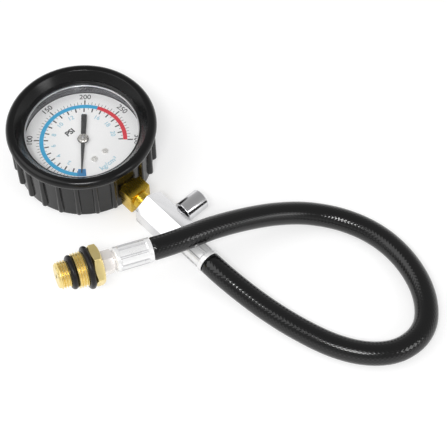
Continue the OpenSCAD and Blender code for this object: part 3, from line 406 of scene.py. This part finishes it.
def printed(name, bm, colour):
    """One colour of print as a thin film of ink on the dial."""
    bmesh.ops.remove_doubles(bm, verts=bm.verts, dist=merge_gap)
    bmesh.ops.recalc_face_normals(bm, faces=bm.faces)
    down = [f for f in bm.faces if f.normal.z < 0]
    bmesh.ops.reverse_faces(bm, faces=down)
    bmesh.ops.solidify(bm, geom=bm.faces[:], thickness=-ink_t)
    ink = finish(name, colour, 0.4)
    vary(ink, "Roughness", pattern(ink, Scale=2500, Detail=2), 0.32, 0.5)
    made = piece(name, bm, ink)
    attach(made, "gauge")


black = bmesh.new()
for psi in range(0, scale_top + 1, 5):
    fifty = psi % 50 == 0
    reach = fifty_tick_to if fifty else ten_tick_to if psi % 10 == 0 else five_tick_to
    width = fifty_tick_w if fifty else fine_tick_w
    if psi:
        ink_tick(black, scale_angle(psi), outer_ticks_from, reach, width)
for step in range(1, 2 * int(inner_top) + 1):
    whole = step % 2 == 0
    reach = whole_tick_from if whole else half_tick_from
    width = whole_tick_w if whole else fine_tick_w
    ink_tick(black, scale_angle(step / 2, inner_top), reach, inner_ticks_to, width)
for psi in range(50, scale_top + 1, 50):
    spot = around(scale_angle(psi), outer_figure_r)
    ink_words(black, str(psi), outer_figure_h, spot, outer_figure_weight)
ink_words(black, "PSI", outer_figure_h, Matrix.Translation(outer_unit_at), outer_unit_weight)
printed("dial_black_ink", black, (0.015, 0.015, 0.018))

blue = bmesh.new()
ink_band(blue, arc_in, arc_out, zero_angle - zero_half, scale_angle(red_from))
printed("dial_blue_ink", blue, (0.03, 0.37, 0.65))

zero_block = bmesh.new()
ink_band(zero_block, zero_in, arc_out, zero_angle + zero_half, zero_angle - zero_half)
printed("dial_zero_ink", zero_block, (0.03, 0.22, 0.48))

red = bmesh.new()
ink_band(red, arc_in, arc_out, scale_angle(red_from), scale_angle(scale_top))
printed("dial_red_ink", red, (0.68, 0.03, 0.05))

pale = bmesh.new()
for even in range(2, int(inner_top) + 1, 2):
    spot = around(scale_angle(even, inner_top), inner_figure_r)
    ink_words(pale, str(even), inner_figure_h, spot, inner_figure_weight)
ink_words(pale, "kg/cm²", inner_unit_h, Matrix.Translation(inner_unit_at), inner_figure_weight)
printed("dial_pale_ink", pale, (0.33, 0.56, 0.67))

# Pointer
# A needle stamped from thin aluminium and sprayed satin black, with a broad tail that balances it.
# A bright turned hub is riveted through it and pressed onto the pinion's arbor.
needle_edge, hub_edge, dial_screw_edge = 0.06 * mm, 0.08 * mm, 0.15 * mm


def softened(node, edge):
    """A merged copy of a CAD node whose sharp edges are rounded a little."""
    flat_angle, sharp_angle = radians(1), radians(25)
    bm = merged(node)
    bmesh.ops.dissolve_limit(bm, angle_limit=flat_angle, verts=bm.verts, edges=bm.edges)
    sharp = [e for e in bm.edges if e.is_manifold and e.calc_face_angle() > sharp_angle]
    bmesh.ops.bevel(bm, geom=sharp, offset=edge, offset_type="OFFSET", segments=2, profile=0.5,
                    affect="EDGES", material=-1, clamp_overlap=True)
    return bm


pointer_black = finish("pointer_black", (0.025, 0.025, 0.026), 0.4)
pointer_speck = pattern(pointer_black, Scale=2600, Detail=3)
vary(pointer_black, "Roughness", pointer_speck, 0.34, 0.52)
relief(pointer_black, pointer_speck, 0.01 * mm)
pointer = piece("pointer_needle", softened("pointer", needle_edge), pointer_black)
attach(pointer, "pointer")
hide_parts("pointer")

hub_steel = finish("hub_steel", (0.72, 0.7, 0.66), 0.24, 1.0)
hub_grain = pattern(hub_steel, Scale=1500, Detail=4)
vary(hub_steel, "Roughness", hub_grain, 0.2, 0.36)
hub = piece("pointer_hub", softened("pointer_bush", hub_edge), hub_steel)
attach(hub, "pointer")
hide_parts("pointer_bush")
dial_screw_nickel = finish("dial_screw_nickel", (0.9, 0.89, 0.86), 0.3, 0.7)
dial_screw_grain = pattern(dial_screw_nickel, Scale=1500, Detail=4)
vary(dial_screw_nickel, "Roughness", dial_screw_grain, 0.24, 0.36)
dial_screws = piece("dial_screw_pair", softened("dial_screws", dial_screw_edge), dial_screw_nickel)
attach(dial_screws, "gauge")
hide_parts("dial_screws")

# Window
# A flat disc of clear acrylic that sits on a rubber ring, held by a thin bezel ring spun from bright
# plated sheet and rolled over the rim of the case.
bezel_low, bezel_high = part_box("bezel_ring")
bezel_r = bezel_high.x
bezel_window_r = 29.7 * mm
bezel_t = 0.6 * mm
bezel_steps = 180


def rounded(corners, arc=5):
    """Points along an outline of (x, y, radius) corners, each corner an arc of its radius."""
    points = []
    for i, (x, y, radius) in enumerate(corners):
        here = Vector((x, y))
        if not radius:
            points.append(here)
            continue
        before = (Vector(corners[i - 1][:2]) - here).normalized()
        after = (Vector(corners[(i + 1) % len(corners)][:2]) - here).normalized()
        half = before.angle(after) / 2
        centre = here + (before + after).normalized() * radius / sin(half)
        start = here + before * radius / tan(half) - centre
        end = here + after * radius / tan(half) - centre
        points += [centre + radius * start.slerp(end, k / arc) for k in range(arc + 1)]
    return points


glass = finish("window_acrylic", (1, 1, 1), 0.02)
glass_shader = glass.node_tree.nodes["Principled BSDF"]
glass_shader.inputs["Transmission Weight"].default_value = 1
glass_shader.inputs["IOR"].default_value = 1.49
vary(glass, "Roughness", pattern(glass, Scale=30, Detail=2), 0.0, 0.03)
dress(glass, "lens")
# The lamps and the room light the dial directly, and the window only shows in what the camera sees.
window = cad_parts["lens"]
window.visible_shadow = False
window.visible_diffuse = False

seal_rubber = finish("seal_rubber", (0.006, 0.005, 0.005), 0.4)
seal_rubber.node_tree.nodes["Principled BSDF"].inputs["Specular IOR Level"].default_value = 0.3
seal_speck = pattern(seal_rubber, Scale=1800, Detail=3)
vary(seal_rubber, "Roughness", seal_speck, 0.28, 0.45)
relief(seal_rubber, seal_speck, 0.02 * mm)
dress(seal_rubber, "lens_gasket", "bleed_seal", "valve_core_seal", "large_o_ring", "small_o_ring")

bezel_bright = finish("bezel_bright", (0.92, 0.92, 0.93), 0.35, 1.0)
bezel_haze = pattern(bezel_bright, Scale=700, Detail=3)
vary(bezel_bright, "Roughness", bezel_haze, 0.3, 0.4)
bezel_top = bezel_high.z
bezel_outline = rounded([
    (bezel_window_r, bezel_top - bezel_t, 0.15 * mm), (bezel_r - bezel_t, bezel_top - bezel_t, 0.1 * mm),
    (bezel_r - bezel_t, bezel_low.z, 0), (bezel_r, bezel_low.z, 0), (bezel_r, bezel_top, 0.5 * mm),
    (bezel_window_r, bezel_top, 0.25 * mm)])
bezel = piece("bezel", turned(bezel_outline, steps=bezel_steps, closed=True), bezel_bright)
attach(bezel, "gauge")
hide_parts("bezel_ring")

# Boot
# A cup moulded in soft black rubber and stretched over the case. A rolled lip stands proud of the window
# to guard it, and grip ribs run round the wall. Its surface is satin, with a little bloom.
boot_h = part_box("boot")[1].z
boot_r = 36.7 * mm
boot_draft = 0.4 * mm
boot_floor = 3 * mm
cavity_r = 33.3 * mm
lip_roll_r = 3 * mm
lip_r = 39.5 * mm
lip_x, lip_z = lip_r - lip_roll_r, boot_h - lip_roll_r
lip_turns = range(-78, 96, 6)
funnel_r, funnel_drop = 35 * mm, 0.35 * mm
boot_window_r = 30.2 * mm
edge_z = 26.1 * mm
edge_t = 0.9 * mm
step_r = 31.5 * mm
step_z = 28.2 * mm
step_drop = 0.6 * mm
foot_round = 1.2 * mm
foot_drop = 0.4 * mm
rib_places = 24
steps_per_rib = 32
rib_w = 2.8 * mm
rib_out_r = 38.4 * mm
rib_foot = 2.8 * mm
rib_foot_levels = (-0.2 * mm, 0.05 * mm, 0.3 * mm, 0.8 * mm)
rib_foot_ease = 0.6 * mm
rib_levels = 8
rib_head_gap = 3.4 * mm
shank_hole_r = 6 * mm
shank_hole_in = 8 * mm
recess_r, recess_depth = 2.6 * mm, 1.7 * mm
recess_x, recess_y = 4 * mm, -24 * mm

rib_span = lip_z - rib_head_gap - rib_foot
wall_heights = [rib_foot + level for level in rib_foot_levels]
wall_heights += [rib_foot + rib_span * k / rib_levels for k in range(1, rib_levels + 1)]


def wall_r(z):
    """Radius of the boot's plain wall at a height."""
    return boot_r - boot_draft + boot_draft * z / lip_z


lip_arc = [(lip_x + lip_roll_r * cos(radians(turn)), lip_z + lip_roll_r * sin(radians(turn)))
           for turn in lip_turns]
outside = rounded([(0, 0, 0), (wall_r(0), 0, foot_round), (wall_r(rib_foot), rib_foot - foot_drop, 0)])
outside += [(wall_r(z), z) for z in wall_heights] + lip_arc
inside = rounded([
    lip_arc[-1] + (0,), (funnel_r, boot_h - funnel_drop, 0.8 * mm), (step_r, step_z, 0.5 * mm),
    (step_r, step_z - step_drop, 0.2 * mm), (boot_window_r, edge_z + edge_t, 0.35 * mm),
    (boot_window_r, edge_z, 0.2 * mm), (cavity_r, edge_z, 0), (cavity_r, boot_floor, 0),
    (0, boot_floor, 0)])[1:]
boot_mesh = turned(outside + inside, steps=rib_places * steps_per_rib)
rib_turn = 2 * pi / rib_places
rib_half = rib_w / 2
nose_r = rib_out_r - rib_half
for v in boot_mesh.verts:
    radius = hypot(v.co.x, v.co.y)
    turn = atan2(v.co.y, v.co.x) + pi / 2
    rib = round(turn / rib_turn)
    across = (turn - rib * rib_turn) * radius
    on_wall = rib_foot < v.co.z < lip_z and radius > wall_r(v.co.z) - 10 * merge_gap
    if on_wall and rib % rib_places:
        nose = nose_r + sqrt(max(0, rib_half ** 2 - across ** 2)) if abs(across) < rib_half else 0
        reach = max(radius, nose - max(0, rib_foot_ease - (v.co.z - rib_foot)) ** 2 / rib_foot_ease)
        v.co.x *= reach / radius
        v.co.y *= reach / radius

boot_rubber = finish("boot_rubber", (0.003, 0.003, 0.0031), 0.28)
boot_rubber.node_tree.nodes["Principled BSDF"].inputs["Specular IOR Level"].default_value = 0.34
boot_speck = pattern(boot_rubber, Scale=1500, Detail=4)
vary(boot_rubber, "Roughness", boot_speck, 0.18, 0.26)
relief(boot_rubber, boot_speck, 0.004 * mm)
tint(boot_rubber, pattern(boot_rubber, Scale=70, Detail=4), (0.002, 0.002, 0.0021),
     (0.004, 0.004, 0.0041))

boot = piece("boot_moulding", boot_mesh, boot_rubber)
holes = bmesh.new()
bmesh.ops.create_cone(holes, cap_ends=True, segments=48, radius1=shank_hole_r, radius2=shank_hole_r,
                      depth=lip_r, matrix=along_stem(lip_r / 2 + cavity_r - shank_hole_in))
for x in (-recess_x, recess_x):
    bmesh.ops.create_cone(holes, cap_ends=True, segments=32, radius1=recess_r, radius2=recess_r,
                          depth=2 * recess_depth, matrix=Matrix.Translation((x, recess_y, boot_floor)))
cutter = piece("boot_holes", holes, boot_rubber)
cut_out = boot.modifiers.new("holes", "BOOLEAN")
cut_out.object = cutter
cut_out.solver = "EXACT"
bpy.context.view_layer.update()
pierced = bpy.data.meshes.new_from_object(boot.evaluated_get(bpy.context.evaluated_depsgraph_get()))
boot.modifiers.clear()
boot.data = pierced
bpy.data.objects.remove(cutter)
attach(boot, "gauge")
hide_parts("boot")

# Bleed valve
# A hexagon body of nickel-chromed brass. A push button on its side lifts a sprung stem off its seat and
# lets the pressure out. The button is a turned cup with a broken edge, polished and chromed.
valve_edge = 0.18 * mm
button_low, button_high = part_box("bleed_button")
button_r = (button_high.z - button_low.z) / 2
button_len = button_high.x - button_low.x
button_y = (button_low.y + button_high.y) / 2
button_bore_r = 4.2 * mm
button_top_t = 2.3 * mm
button_chamfer, button_foot_chamfer = 0.75 * mm, 0.3 * mm

chrome = finish("valve_chrome", (0.76, 0.76, 0.77), 0.14, 1.0)
chrome_haze = pattern(chrome, Scale=260, Detail=4)
vary(chrome, "Roughness", chrome_haze, 0.1, 0.18)
chrome_grain = pattern(chrome, stretch=(1, 0.1, 1), Scale=1300, Detail=3)
relief(chrome, chrome_grain, 0.003 * mm)
valve = piece("valve_hexagon", softened("valve_body", valve_edge), chrome)
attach(valve, "gauge")
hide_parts("valve_body")
dress(movement_brass, "bleed_stem")

# The bush is dark steel, painted darker still as the shade in the recess under the button.
bush_dark_and_shade = finish("bush_dark_and_shade", (0.03, 0.03, 0.032), 0.4, 0.5)
bush_grain = pattern(bush_dark_and_shade, Scale=1500, Detail=3)
vary(bush_dark_and_shade, "Roughness", bush_grain, 0.34, 0.5)
dress(bush_dark_and_shade, "bleed_bush")

button_outline = rounded([
    (0, button_len, 0), (button_r - button_chamfer, button_len, 0.3 * mm),
    (button_r, button_len - button_chamfer, 0.3 * mm), (button_r, button_foot_chamfer, 0.15 * mm),
    (button_r - button_foot_chamfer, 0, 0.1 * mm), (button_bore_r, 0, 0.2 * mm),
    (button_bore_r, button_len - button_top_t, 0), (0, button_len - button_top_t, 0)])
button_place = Matrix.Translation((button_low.x, button_y, stem_z)) @ Matrix.Rotation(pi / 2, 4, "Y")
button = piece("push_button", turned(button_outline), chrome, button_place)
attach(button, "button")
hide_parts("bleed_button")

bleed_coil = piece("bleed_coil", merged("bleed_spring"), spring_steel, crease=60)
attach(bleed_coil, "gauge")
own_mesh(bleed_coil)
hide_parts("bleed_spring")

# Hose ends
# Aluminium ferrules crimped by eight dies round the hose, which squeeze it on the barbed tails of the
# plated nipples. The gaps between the dies leave fine ridges, with a painted shade along the foot of each.
ferrule_r = 6.4 * mm
ferrule_bore_r = 5.6 * mm
ferrule_len = 19.5 * mm
ferrule_round = 1.2 * mm
ferrule_lip_r, ferrule_lip_t = 2.82 * mm, 1 * mm
crimp_from, crimp_to = 2.2 * mm, 17.3 * mm
crimp_ease = 0.7 * mm
crimp_flats = 8
steps_per_flat = 16
crimp_r = 6.0 * mm
ridge_half = radians(3.5)
ridge_foot_shade = (radians(2), radians(6.3))
near_mouth_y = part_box("near_ferrule")[0].y


def stain(made, mark, colour):
    """Lays a painted shade colour over the shader's own where the mesh carries a mark."""
    nodes, links = made.node_tree.nodes, made.node_tree.links
    base = nodes["Principled BSDF"].inputs["Base Color"]
    shade_marks = nodes.new("ShaderNodeAttribute")
    shade_marks.attribute_name = mark
    mix = nodes.new("ShaderNodeMix")
    mix.data_type = "RGBA"
    mix.inputs["A"].default_value = base.default_value
    mix.inputs["B"].default_value = (*colour, 1)
    links.new(shade_marks.outputs["Fac"], mix.inputs["Factor"])
    for link in base.links:
        links.new(link.from_socket, mix.inputs["A"])
    links.new(mix.outputs["Result"], base)


ferrule_alloy = finish("ferrule_alloy", (0.93, 0.93, 0.93), 0.3, 0.4)
ferrule_haze = pattern(ferrule_alloy, Scale=300, Detail=2)
vary(ferrule_alloy, "Roughness", ferrule_haze, 0.26, 0.34)
# A darker grey painted shade along the foot of each crimp ridge.
stain(ferrule_alloy, "ridge_foot_shade", (0.62, 0.62, 0.63))
nipple_nickel = finish("nipple_nickel", (0.94, 0.9, 0.87), 0.24, 0.6)
nipple_haze = pattern(nipple_nickel, Scale=300, Detail=2)
vary(nipple_nickel, "Roughness", nipple_haze, 0.22, 0.27)
dress(nipple_nickel, "near_nipple")


def crimped_ferrule():
    """Ferrule along z with its mouth at z = 0."""
    heights = [crimp_from, crimp_from + crimp_ease, crimp_to - crimp_ease, crimp_to]
    foot = [(ferrule_bore_r, 0, 0.2 * mm), (ferrule_r, 0, 0.3 * mm)]
    seat_z = ferrule_len - ferrule_lip_t
    head = [(ferrule_r, ferrule_len, ferrule_round), (ferrule_lip_r, ferrule_len, 0),
            (ferrule_lip_r, seat_z, 0), (ferrule_bore_r, seat_z, 0)]
    outline = rounded(foot + [(ferrule_r, z, 0) for z in heights] + head)
    bm = turned(outline, steps=crimp_flats * steps_per_flat, closed=True)
    shade_marks = bm.verts.layers.float.new("ridge_foot_shade")
    for v in bm.verts:
        radius = hypot(v.co.x, v.co.y)
        if crimp_from + 10 * merge_gap < v.co.z < crimp_to - 10 * merge_gap and radius > crimp_r:
            off_die = off_flat(*(Matrix.Rotation(-pi / crimp_flats, 2) @ v.co.xy), crimp_flats)
            between = pi / crimp_flats - abs(off_die)
            # Strips along the foot of each ridge are marked for painted shade.
            v[shade_marks] = ridge_foot_shade[0] < between < ridge_foot_shade[1]
            share = 1 if between < ridge_half else crimp_r / radius
            v.co.x *= share
            v.co.y *= share
    return bm


near_place = along_stem(-near_mouth_y) @ Matrix.Rotation(pi, 4, "X")
near_ferrule = piece("near_crimp", crimped_ferrule(), ferrule_alloy, near_place, crease=20)
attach(near_ferrule, "gauge")
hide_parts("near_ferrule")

# Hose
# Black rubber hose with a braid inside, cured in a cloth wrap that leaves a fine diagonal print on it.
# It leaves the valve, dips to the table, loops back and lies over the near ferrule.
hose_d = 12 * mm
hose_squeezed_r = 5.3 * mm
hose_in_ferrule = 17 * mm
hose_shoulder = 0.9 * mm
hose_sides = 48
hose_step = 1 * mm
cloth_lines = 18
free_route = [
    (0.5, -110, 10.4), (2.5, -124, 8), (5, -138, 6.4), (8.5, -154, 6), (13.5, -170, 6),
    (20, -182.5, 6), (28, -191.5, 6), (37, -196.8, 6), (47, -198.2, 6), (56, -195.8, 6),
    (63.5, -190, 6), (69.8, -181.5, 6), (74.3, -171, 6), (76.8, -159.5, 6), (77, -147, 6),
    (74.3, -134, 6), (68, -121, 6.6), (57.5, -109.5, 9), (44, -101, 12.8), (28.5, -94.6, 17.2),
    (12, -89.6, 21.6), (-2, -86.3, 24.2), (-12.4, -83, 25)]
near_mouth = Vector((0, near_mouth_y, stem_z))
far_mouth = Vector((-21.8, -79.4, 25.6)) * mm
far_inner = Vector((-37.5, -73.1, 26.8)) * mm
far_axis = (far_inner - far_mouth).normalized()
route = [near_mouth + Vector((0, hose_in_ferrule, 0)), near_mouth]
route += [Vector(point) * mm for point in free_route]
route += [far_mouth, far_mouth + far_axis * hose_in_ferrule]


def smooth_line(points, step):
    """Points a step apart on one smooth curve through a route."""
    handle_part = 6
    line = [points[0]]
    for i in range(len(points) - 1):
        a, b = points[i], points[i + 1]
        lead = (b - points[max(i - 1, 0)]) / handle_part
        trail = (points[min(i + 2, len(points) - 1)] - a) / handle_part
        line += interpolate_bezier(a, a + lead, b - trail, b, ceil((b - a).length / step) + 1)[1:]
    return line


hose_line = smooth_line(route, hose_step)
lengths = [0.0]
for a, b in zip(hose_line, hose_line[1:]):
    lengths.append(lengths[-1] + (b - a).length)
hose_len = lengths[-1]

hose_mesh = bmesh.new()
cells = hose_mesh.loops.layers.uv.new("cloth_print")
ring = bmesh.ops.create_circle(hose_mesh, segments=hose_sides, radius=1)["verts"]
rim = list({e for v in ring for e in v.link_edges})
section = [v.co.copy() for v in ring]
rings = []
for i, point in enumerate(hose_line):
    if i:
        grown = bmesh.ops.extrude_edge_only(hose_mesh, edges=rim)["geom"]
        rim = [e for e in grown if isinstance(e, bmesh.types.BMEdge)]
        behind = {v for made_ring in rings[-2:] for v in made_ring}
        ring = [next(e.other_vert(v) for e in v.link_edges if e.other_vert(v) not in behind) for v in ring]
    ahead = (hose_line[min(i + 1, len(hose_line) - 1)] - hose_line[max(i - 1, 0)]).normalized()
    side = ahead.cross((0, 0, 1)).normalized()
    up = side.cross(ahead)
    out = min(lengths[i], hose_len - lengths[i]) - hose_in_ferrule
    swell = sin(pi / 2 * min(1, max(0, out / hose_shoulder)))
    radius = hose_squeezed_r + (hose_d / 2 - hose_squeezed_r) * swell
    for v, spot in zip(ring, section):
        v.co = point + radius * (side * spot.x + up * spot.y)
    rings.append(ring)
place_of = {v: (i, j) for i, made_ring in enumerate(rings) for j, v in enumerate(made_ring)}
cell = pi * hose_d / cloth_lines
for face in hose_mesh.faces:
    last = {place_of[v][1] for v in face.verts} == {0, hose_sides - 1}
    for loop in face.loops:
        i, j = place_of[loop.vert]
        j = hose_sides if last and j == 0 else j
        loop[cells].uv = (j / hose_sides * cloth_lines, lengths[i] / cell)
for end in (rings[0], rings[-1]):
    bmesh.ops.contextual_create(hose_mesh, geom=end)
bmesh.ops.recalc_face_normals(hose_mesh, faces=hose_mesh.faces)

hose_rubber = finish("hose_rubber", (0.002, 0.002, 0.0021), 0.18)
nodes, links = hose_rubber.node_tree.nodes, hose_rubber.node_tree.links
nodes["Principled BSDF"].inputs["Specular IOR Level"].default_value = 0.5
cloth = nodes.new("ShaderNodeUVMap")
cloth.uv_map = "cloth_print"
split = nodes.new("ShaderNodeSeparateXYZ")
links.new(cloth.outputs["UV"], split.inputs["Vector"])


def reckoned(operation, first, second):
    """A Math node on two sockets or numbers."""
    node = nodes.new("ShaderNodeMath")
    node.operation = operation
    for socket, value in zip(node.inputs, (first, second)):
        if isinstance(value, (int, float)):
            socket.default_value = value
        else:
            links.new(value, socket)
    return node.outputs["Value"]


def threads(operation):
    """One set of slanting threads, as a wave from -1 to 1."""
    slant = reckoned(operation, split.outputs["X"], split.outputs["Y"])
    return reckoned("SINE", reckoned("MULTIPLY", slant, 2 * pi), 0)


print_height = reckoned("ADD", threads("ADD"), threads("SUBTRACT"))
relief(hose_rubber, print_height, 0.016 * mm)
hose_bloom = pattern(hose_rubber, Scale=700, Detail=3)
vary(hose_rubber, "Roughness", hose_bloom, 0.12, 0.2)
hose = piece("hose_tube", hose_mesh, hose_rubber, crease=60)
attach(hose, "gauge")
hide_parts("hose")

# Far fitting
# The far end screws into a spark-plug hole. A plated nipple holds a turned brass adaptor with a large
# and a small thread, and a black O-ring behind each thread seals it.
far_heading = atan2(far_axis.y, far_axis.x)
far_tilt = asin(far_axis.z)
far_roll = radians(12)
nipple_edge = 0.15 * mm
adaptor_start = 26.5 * mm
adaptor_af = 19 * mm
adaptor_hex_len = 4.8 * mm
adaptor_hex_cut = 0.2 * mm
adaptor_bore_r = 4.05 * mm
adaptor_face = adaptor_start + adaptor_hex_len
groove_w = 3.4 * mm
groove_overlap = 0.5 * mm
large_r, large_len = 9 * mm, 5 * mm
small_r, small_len = 7 * mm, 6 * mm
large_groove_r, small_groove_r = 7.75 * mm, 5.45 * mm
thread_pitch = 1.4 * mm
tip_chamfer = 1.2 * mm
tip_hole_r, tip_hole_depth = 1.1 * mm, 5.5 * mm
large_start = adaptor_face + groove_w
small_start = large_start + large_len + groove_w
far_place = (Matrix.Translation(far_mouth) @ Matrix.Rotation(far_heading, 4, "Z")
             @ Matrix.Rotation(pi / 2 - far_tilt, 4, "Y") @ Matrix.Rotation(far_roll, 4, "Z"))

far_ferrule = piece("far_crimp", crimped_ferrule(), ferrule_alloy, far_place, crease=20)
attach(far_ferrule, "gauge")
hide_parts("far_ferrule")

far_nipple = piece("far_hexagon", softened("far_nipple", nipple_edge), nipple_nickel)
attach(far_nipple, "gauge")
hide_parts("far_nipple")

adaptor_brass = finish("adaptor_brass", (0.88, 0.72, 0.32), 0.3, 1.0)
adaptor_grain = pattern(adaptor_brass, Scale=1300, Detail=4)
vary(adaptor_brass, "Roughness", adaptor_grain, 0.3, 0.38)
relief(adaptor_brass, adaptor_grain, 0.001 * mm)
tint(adaptor_brass, pattern(adaptor_brass, Scale=220, Detail=3), (0.85, 0.69, 0.29),
     (0.91, 0.75, 0.35))
# A near-black painted shade inside the tip's hole.
stain(adaptor_brass, "hole_shade", (0.02, 0.016, 0.01))
groove_run = groove_w + 2 * groove_overlap
large_groove, small_groove = (turned([(0, 0), (r, 0), (r, groove_run), (0, groove_run)])
                              for r in (large_groove_r, small_groove_r))
adaptor_hex = flat_bar(6, adaptor_af, adaptor_hex_len, adaptor_af / 2 - adaptor_hex_cut,
                       bore=adaptor_bore_r)
large_thread = threaded_rod(large_r, thread_pitch, large_len)
small_thread = threaded_rod(small_r, thread_pitch, small_len, chamfer=tip_chamfer, hole_r=tip_hole_r,
                            hole_depth=tip_hole_depth)
adaptor_mesh = joined((adaptor_hex, adaptor_start), (large_groove, adaptor_face - groove_overlap),
                      (large_thread, large_start), (small_groove, large_start + large_len - groove_overlap),
                      (small_thread, small_start))
adaptor = piece("adaptor_turning", adaptor_mesh, adaptor_brass, far_place)
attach(adaptor, "gauge")
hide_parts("adaptor")
dress(movement_brass, "valve_core_body", "valve_core_pin")

core_mesh = merged("valve_core_spring")
core_coil = piece("core_coil", core_mesh, spring_steel, crease=60)
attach(core_coil, "gauge")
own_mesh(core_coil)
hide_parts("valve_core_spring")

on_hose = [far_ferrule, far_nipple, adaptor, core_coil]
on_hose += [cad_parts[node] for node in ("large_o_ring", "small_o_ring", "valve_core_body",
                                              "valve_core_pin", "valve_core_seal")]

# Table, light and camera
# The tester lies on a white studio table. The main soft light stands by the camera, with fainter ones
# around. The camera looks down on it from the hose's side with a long lens.
floor_half = 6
floor_glow_level = 0.43
plain_sky = 0.56
mirrored_sky = ((0.12, 0.95), (0.3, 0.55), (0.6, 0.42), (0.95, 0.36))
floor_mesh = bmesh.new()
bmesh.ops.create_grid(floor_mesh, x_segments=1, y_segments=1, size=floor_half)
floor_white = finish("floor_white", (0.6, 0.6, 0.6), 0.9)
floor_nodes, floor_links = floor_white.node_tree.nodes, floor_white.node_tree.links
floor_nodes["Principled BSDF"].inputs["Specular IOR Level"].default_value = 0


def seen_rays(tree):
    """1 for what the camera sees straight, in a reflection or through the window, and 0 for the rest."""
    path = tree.nodes.new("ShaderNodeLightPath")
    first, second = (tree.nodes.new("ShaderNodeMath") for _ in range(2))
    for node in (first, second):
        node.operation = "MAXIMUM"
    tree.links.new(path.outputs["Is Camera Ray"], first.inputs[0])
    tree.links.new(path.outputs["Is Glossy Ray"], first.inputs[1])
    tree.links.new(first.outputs[0], second.inputs[0])
    tree.links.new(path.outputs["Is Transmission Ray"], second.inputs[1])
    return second.outputs[0]


floor_glow = floor_nodes.new("ShaderNodeEmission")
floor_share = floor_nodes.new("ShaderNodeMath")
floor_share.operation = "MULTIPLY"
floor_share.inputs[1].default_value = floor_glow_level
floor_links.new(seen_rays(floor_white.node_tree), floor_share.inputs[0])
floor_links.new(floor_share.outputs[0], floor_glow.inputs["Strength"])
floor_sum = floor_nodes.new("ShaderNodeAddShader")
floor_links.new(floor_nodes["Principled BSDF"].outputs["BSDF"], floor_sum.inputs[0])
floor_links.new(floor_glow.outputs["Emission"], floor_sum.inputs[1])
floor_links.new(floor_sum.outputs["Shader"], floor_nodes["Material Output"].inputs["Surface"])
floor = piece("table_top", floor_mesh, floor_white)

world = bpy.data.worlds.new("studio")
bpy.context.scene.world = world
world.use_nodes = True
sky_tree = world.node_tree
sky = sky_tree.nodes["Background"]
sky_height = sky_tree.nodes.new("ShaderNodeSeparateXYZ")
sky_ramp = sky_tree.nodes.new("ShaderNodeValToRGB")
for place, level in mirrored_sky:
    stop = sky_ramp.color_ramp.elements.new(place)
    stop.color = (level, level, level, 1)
sky_ramp.color_ramp.elements.remove(sky_ramp.color_ramp.elements[-1])
sky_ramp.color_ramp.elements[0].color = (1, 1, 1, 1)
sky_mix = sky_tree.nodes.new("ShaderNodeMix")
sky_mix.data_type = "RGBA"
sky_mix.inputs["A"].default_value = (plain_sky, plain_sky, plain_sky, 1)
sky_way = sky_tree.nodes.new("ShaderNodeTexCoord")
sky_tree.links.new(sky_way.outputs["Generated"], sky_height.inputs["Vector"])
sky_tree.links.new(sky_height.outputs["Z"], sky_ramp.inputs["Fac"])
sky_tree.links.new(seen_rays(sky_tree), sky_mix.inputs["Factor"])
sky_tree.links.new(sky_ramp.outputs["Color"], sky_mix.inputs["B"])
sky_tree.links.new(sky_mix.outputs["Result"], sky.inputs["Color"])


def softbox(name, place, aim, width, height, power):
    """A rectangular soft light turned towards a point."""
    lamp = bpy.data.lights.new(name, "AREA")
    lamp.shape = "RECTANGLE"
    lamp.size = width
    lamp.size_y = height
    lamp.energy = power
    made = bpy.data.objects.new(name, lamp)
    made.location = place
    made.rotation_euler = (Vector(aim) - Vector(place)).to_track_quat("-Z", "Y").to_euler()
    bpy.context.scene.collection.objects.link(made)


middle = (0.02, -0.09, 0.01)
softbox("key_softbox", (-0.4, -0.42, 0.83), middle, width=0.3, height=0.14, power=4)
softbox("left_softbox", (-0.47, 0.26, 0.68), middle, width=0.7, height=0.7, power=2.3)
softbox("front_softbox", (0.2, -0.84, 0.48), middle, width=0.3, height=0.3, power=1)

aim = Vector((26.1, -81.0, 0)) * mm
view_azimuth = radians(-43)
view_height = radians(57.64)
view_distance = 753.5 * mm
flat_share = cos(view_height)
back = Vector((sin(view_azimuth) * flat_share, -cos(view_azimuth) * flat_share, sin(view_height)))
photo_lens = bpy.data.cameras.new("photo_lens")
photo_lens.sensor_width = 36
photo_lens.lens = 115.6
camera = bpy.data.objects.new("photo_camera", photo_lens)
camera.location = aim + back * view_distance
camera.rotation_euler = (-back).to_track_quat("-Z", "Y").to_euler()
bpy.context.scene.collection.objects.link(camera)
bpy.context.scene.camera = camera
bpy.context.scene.view_settings.view_transform = "Standard"
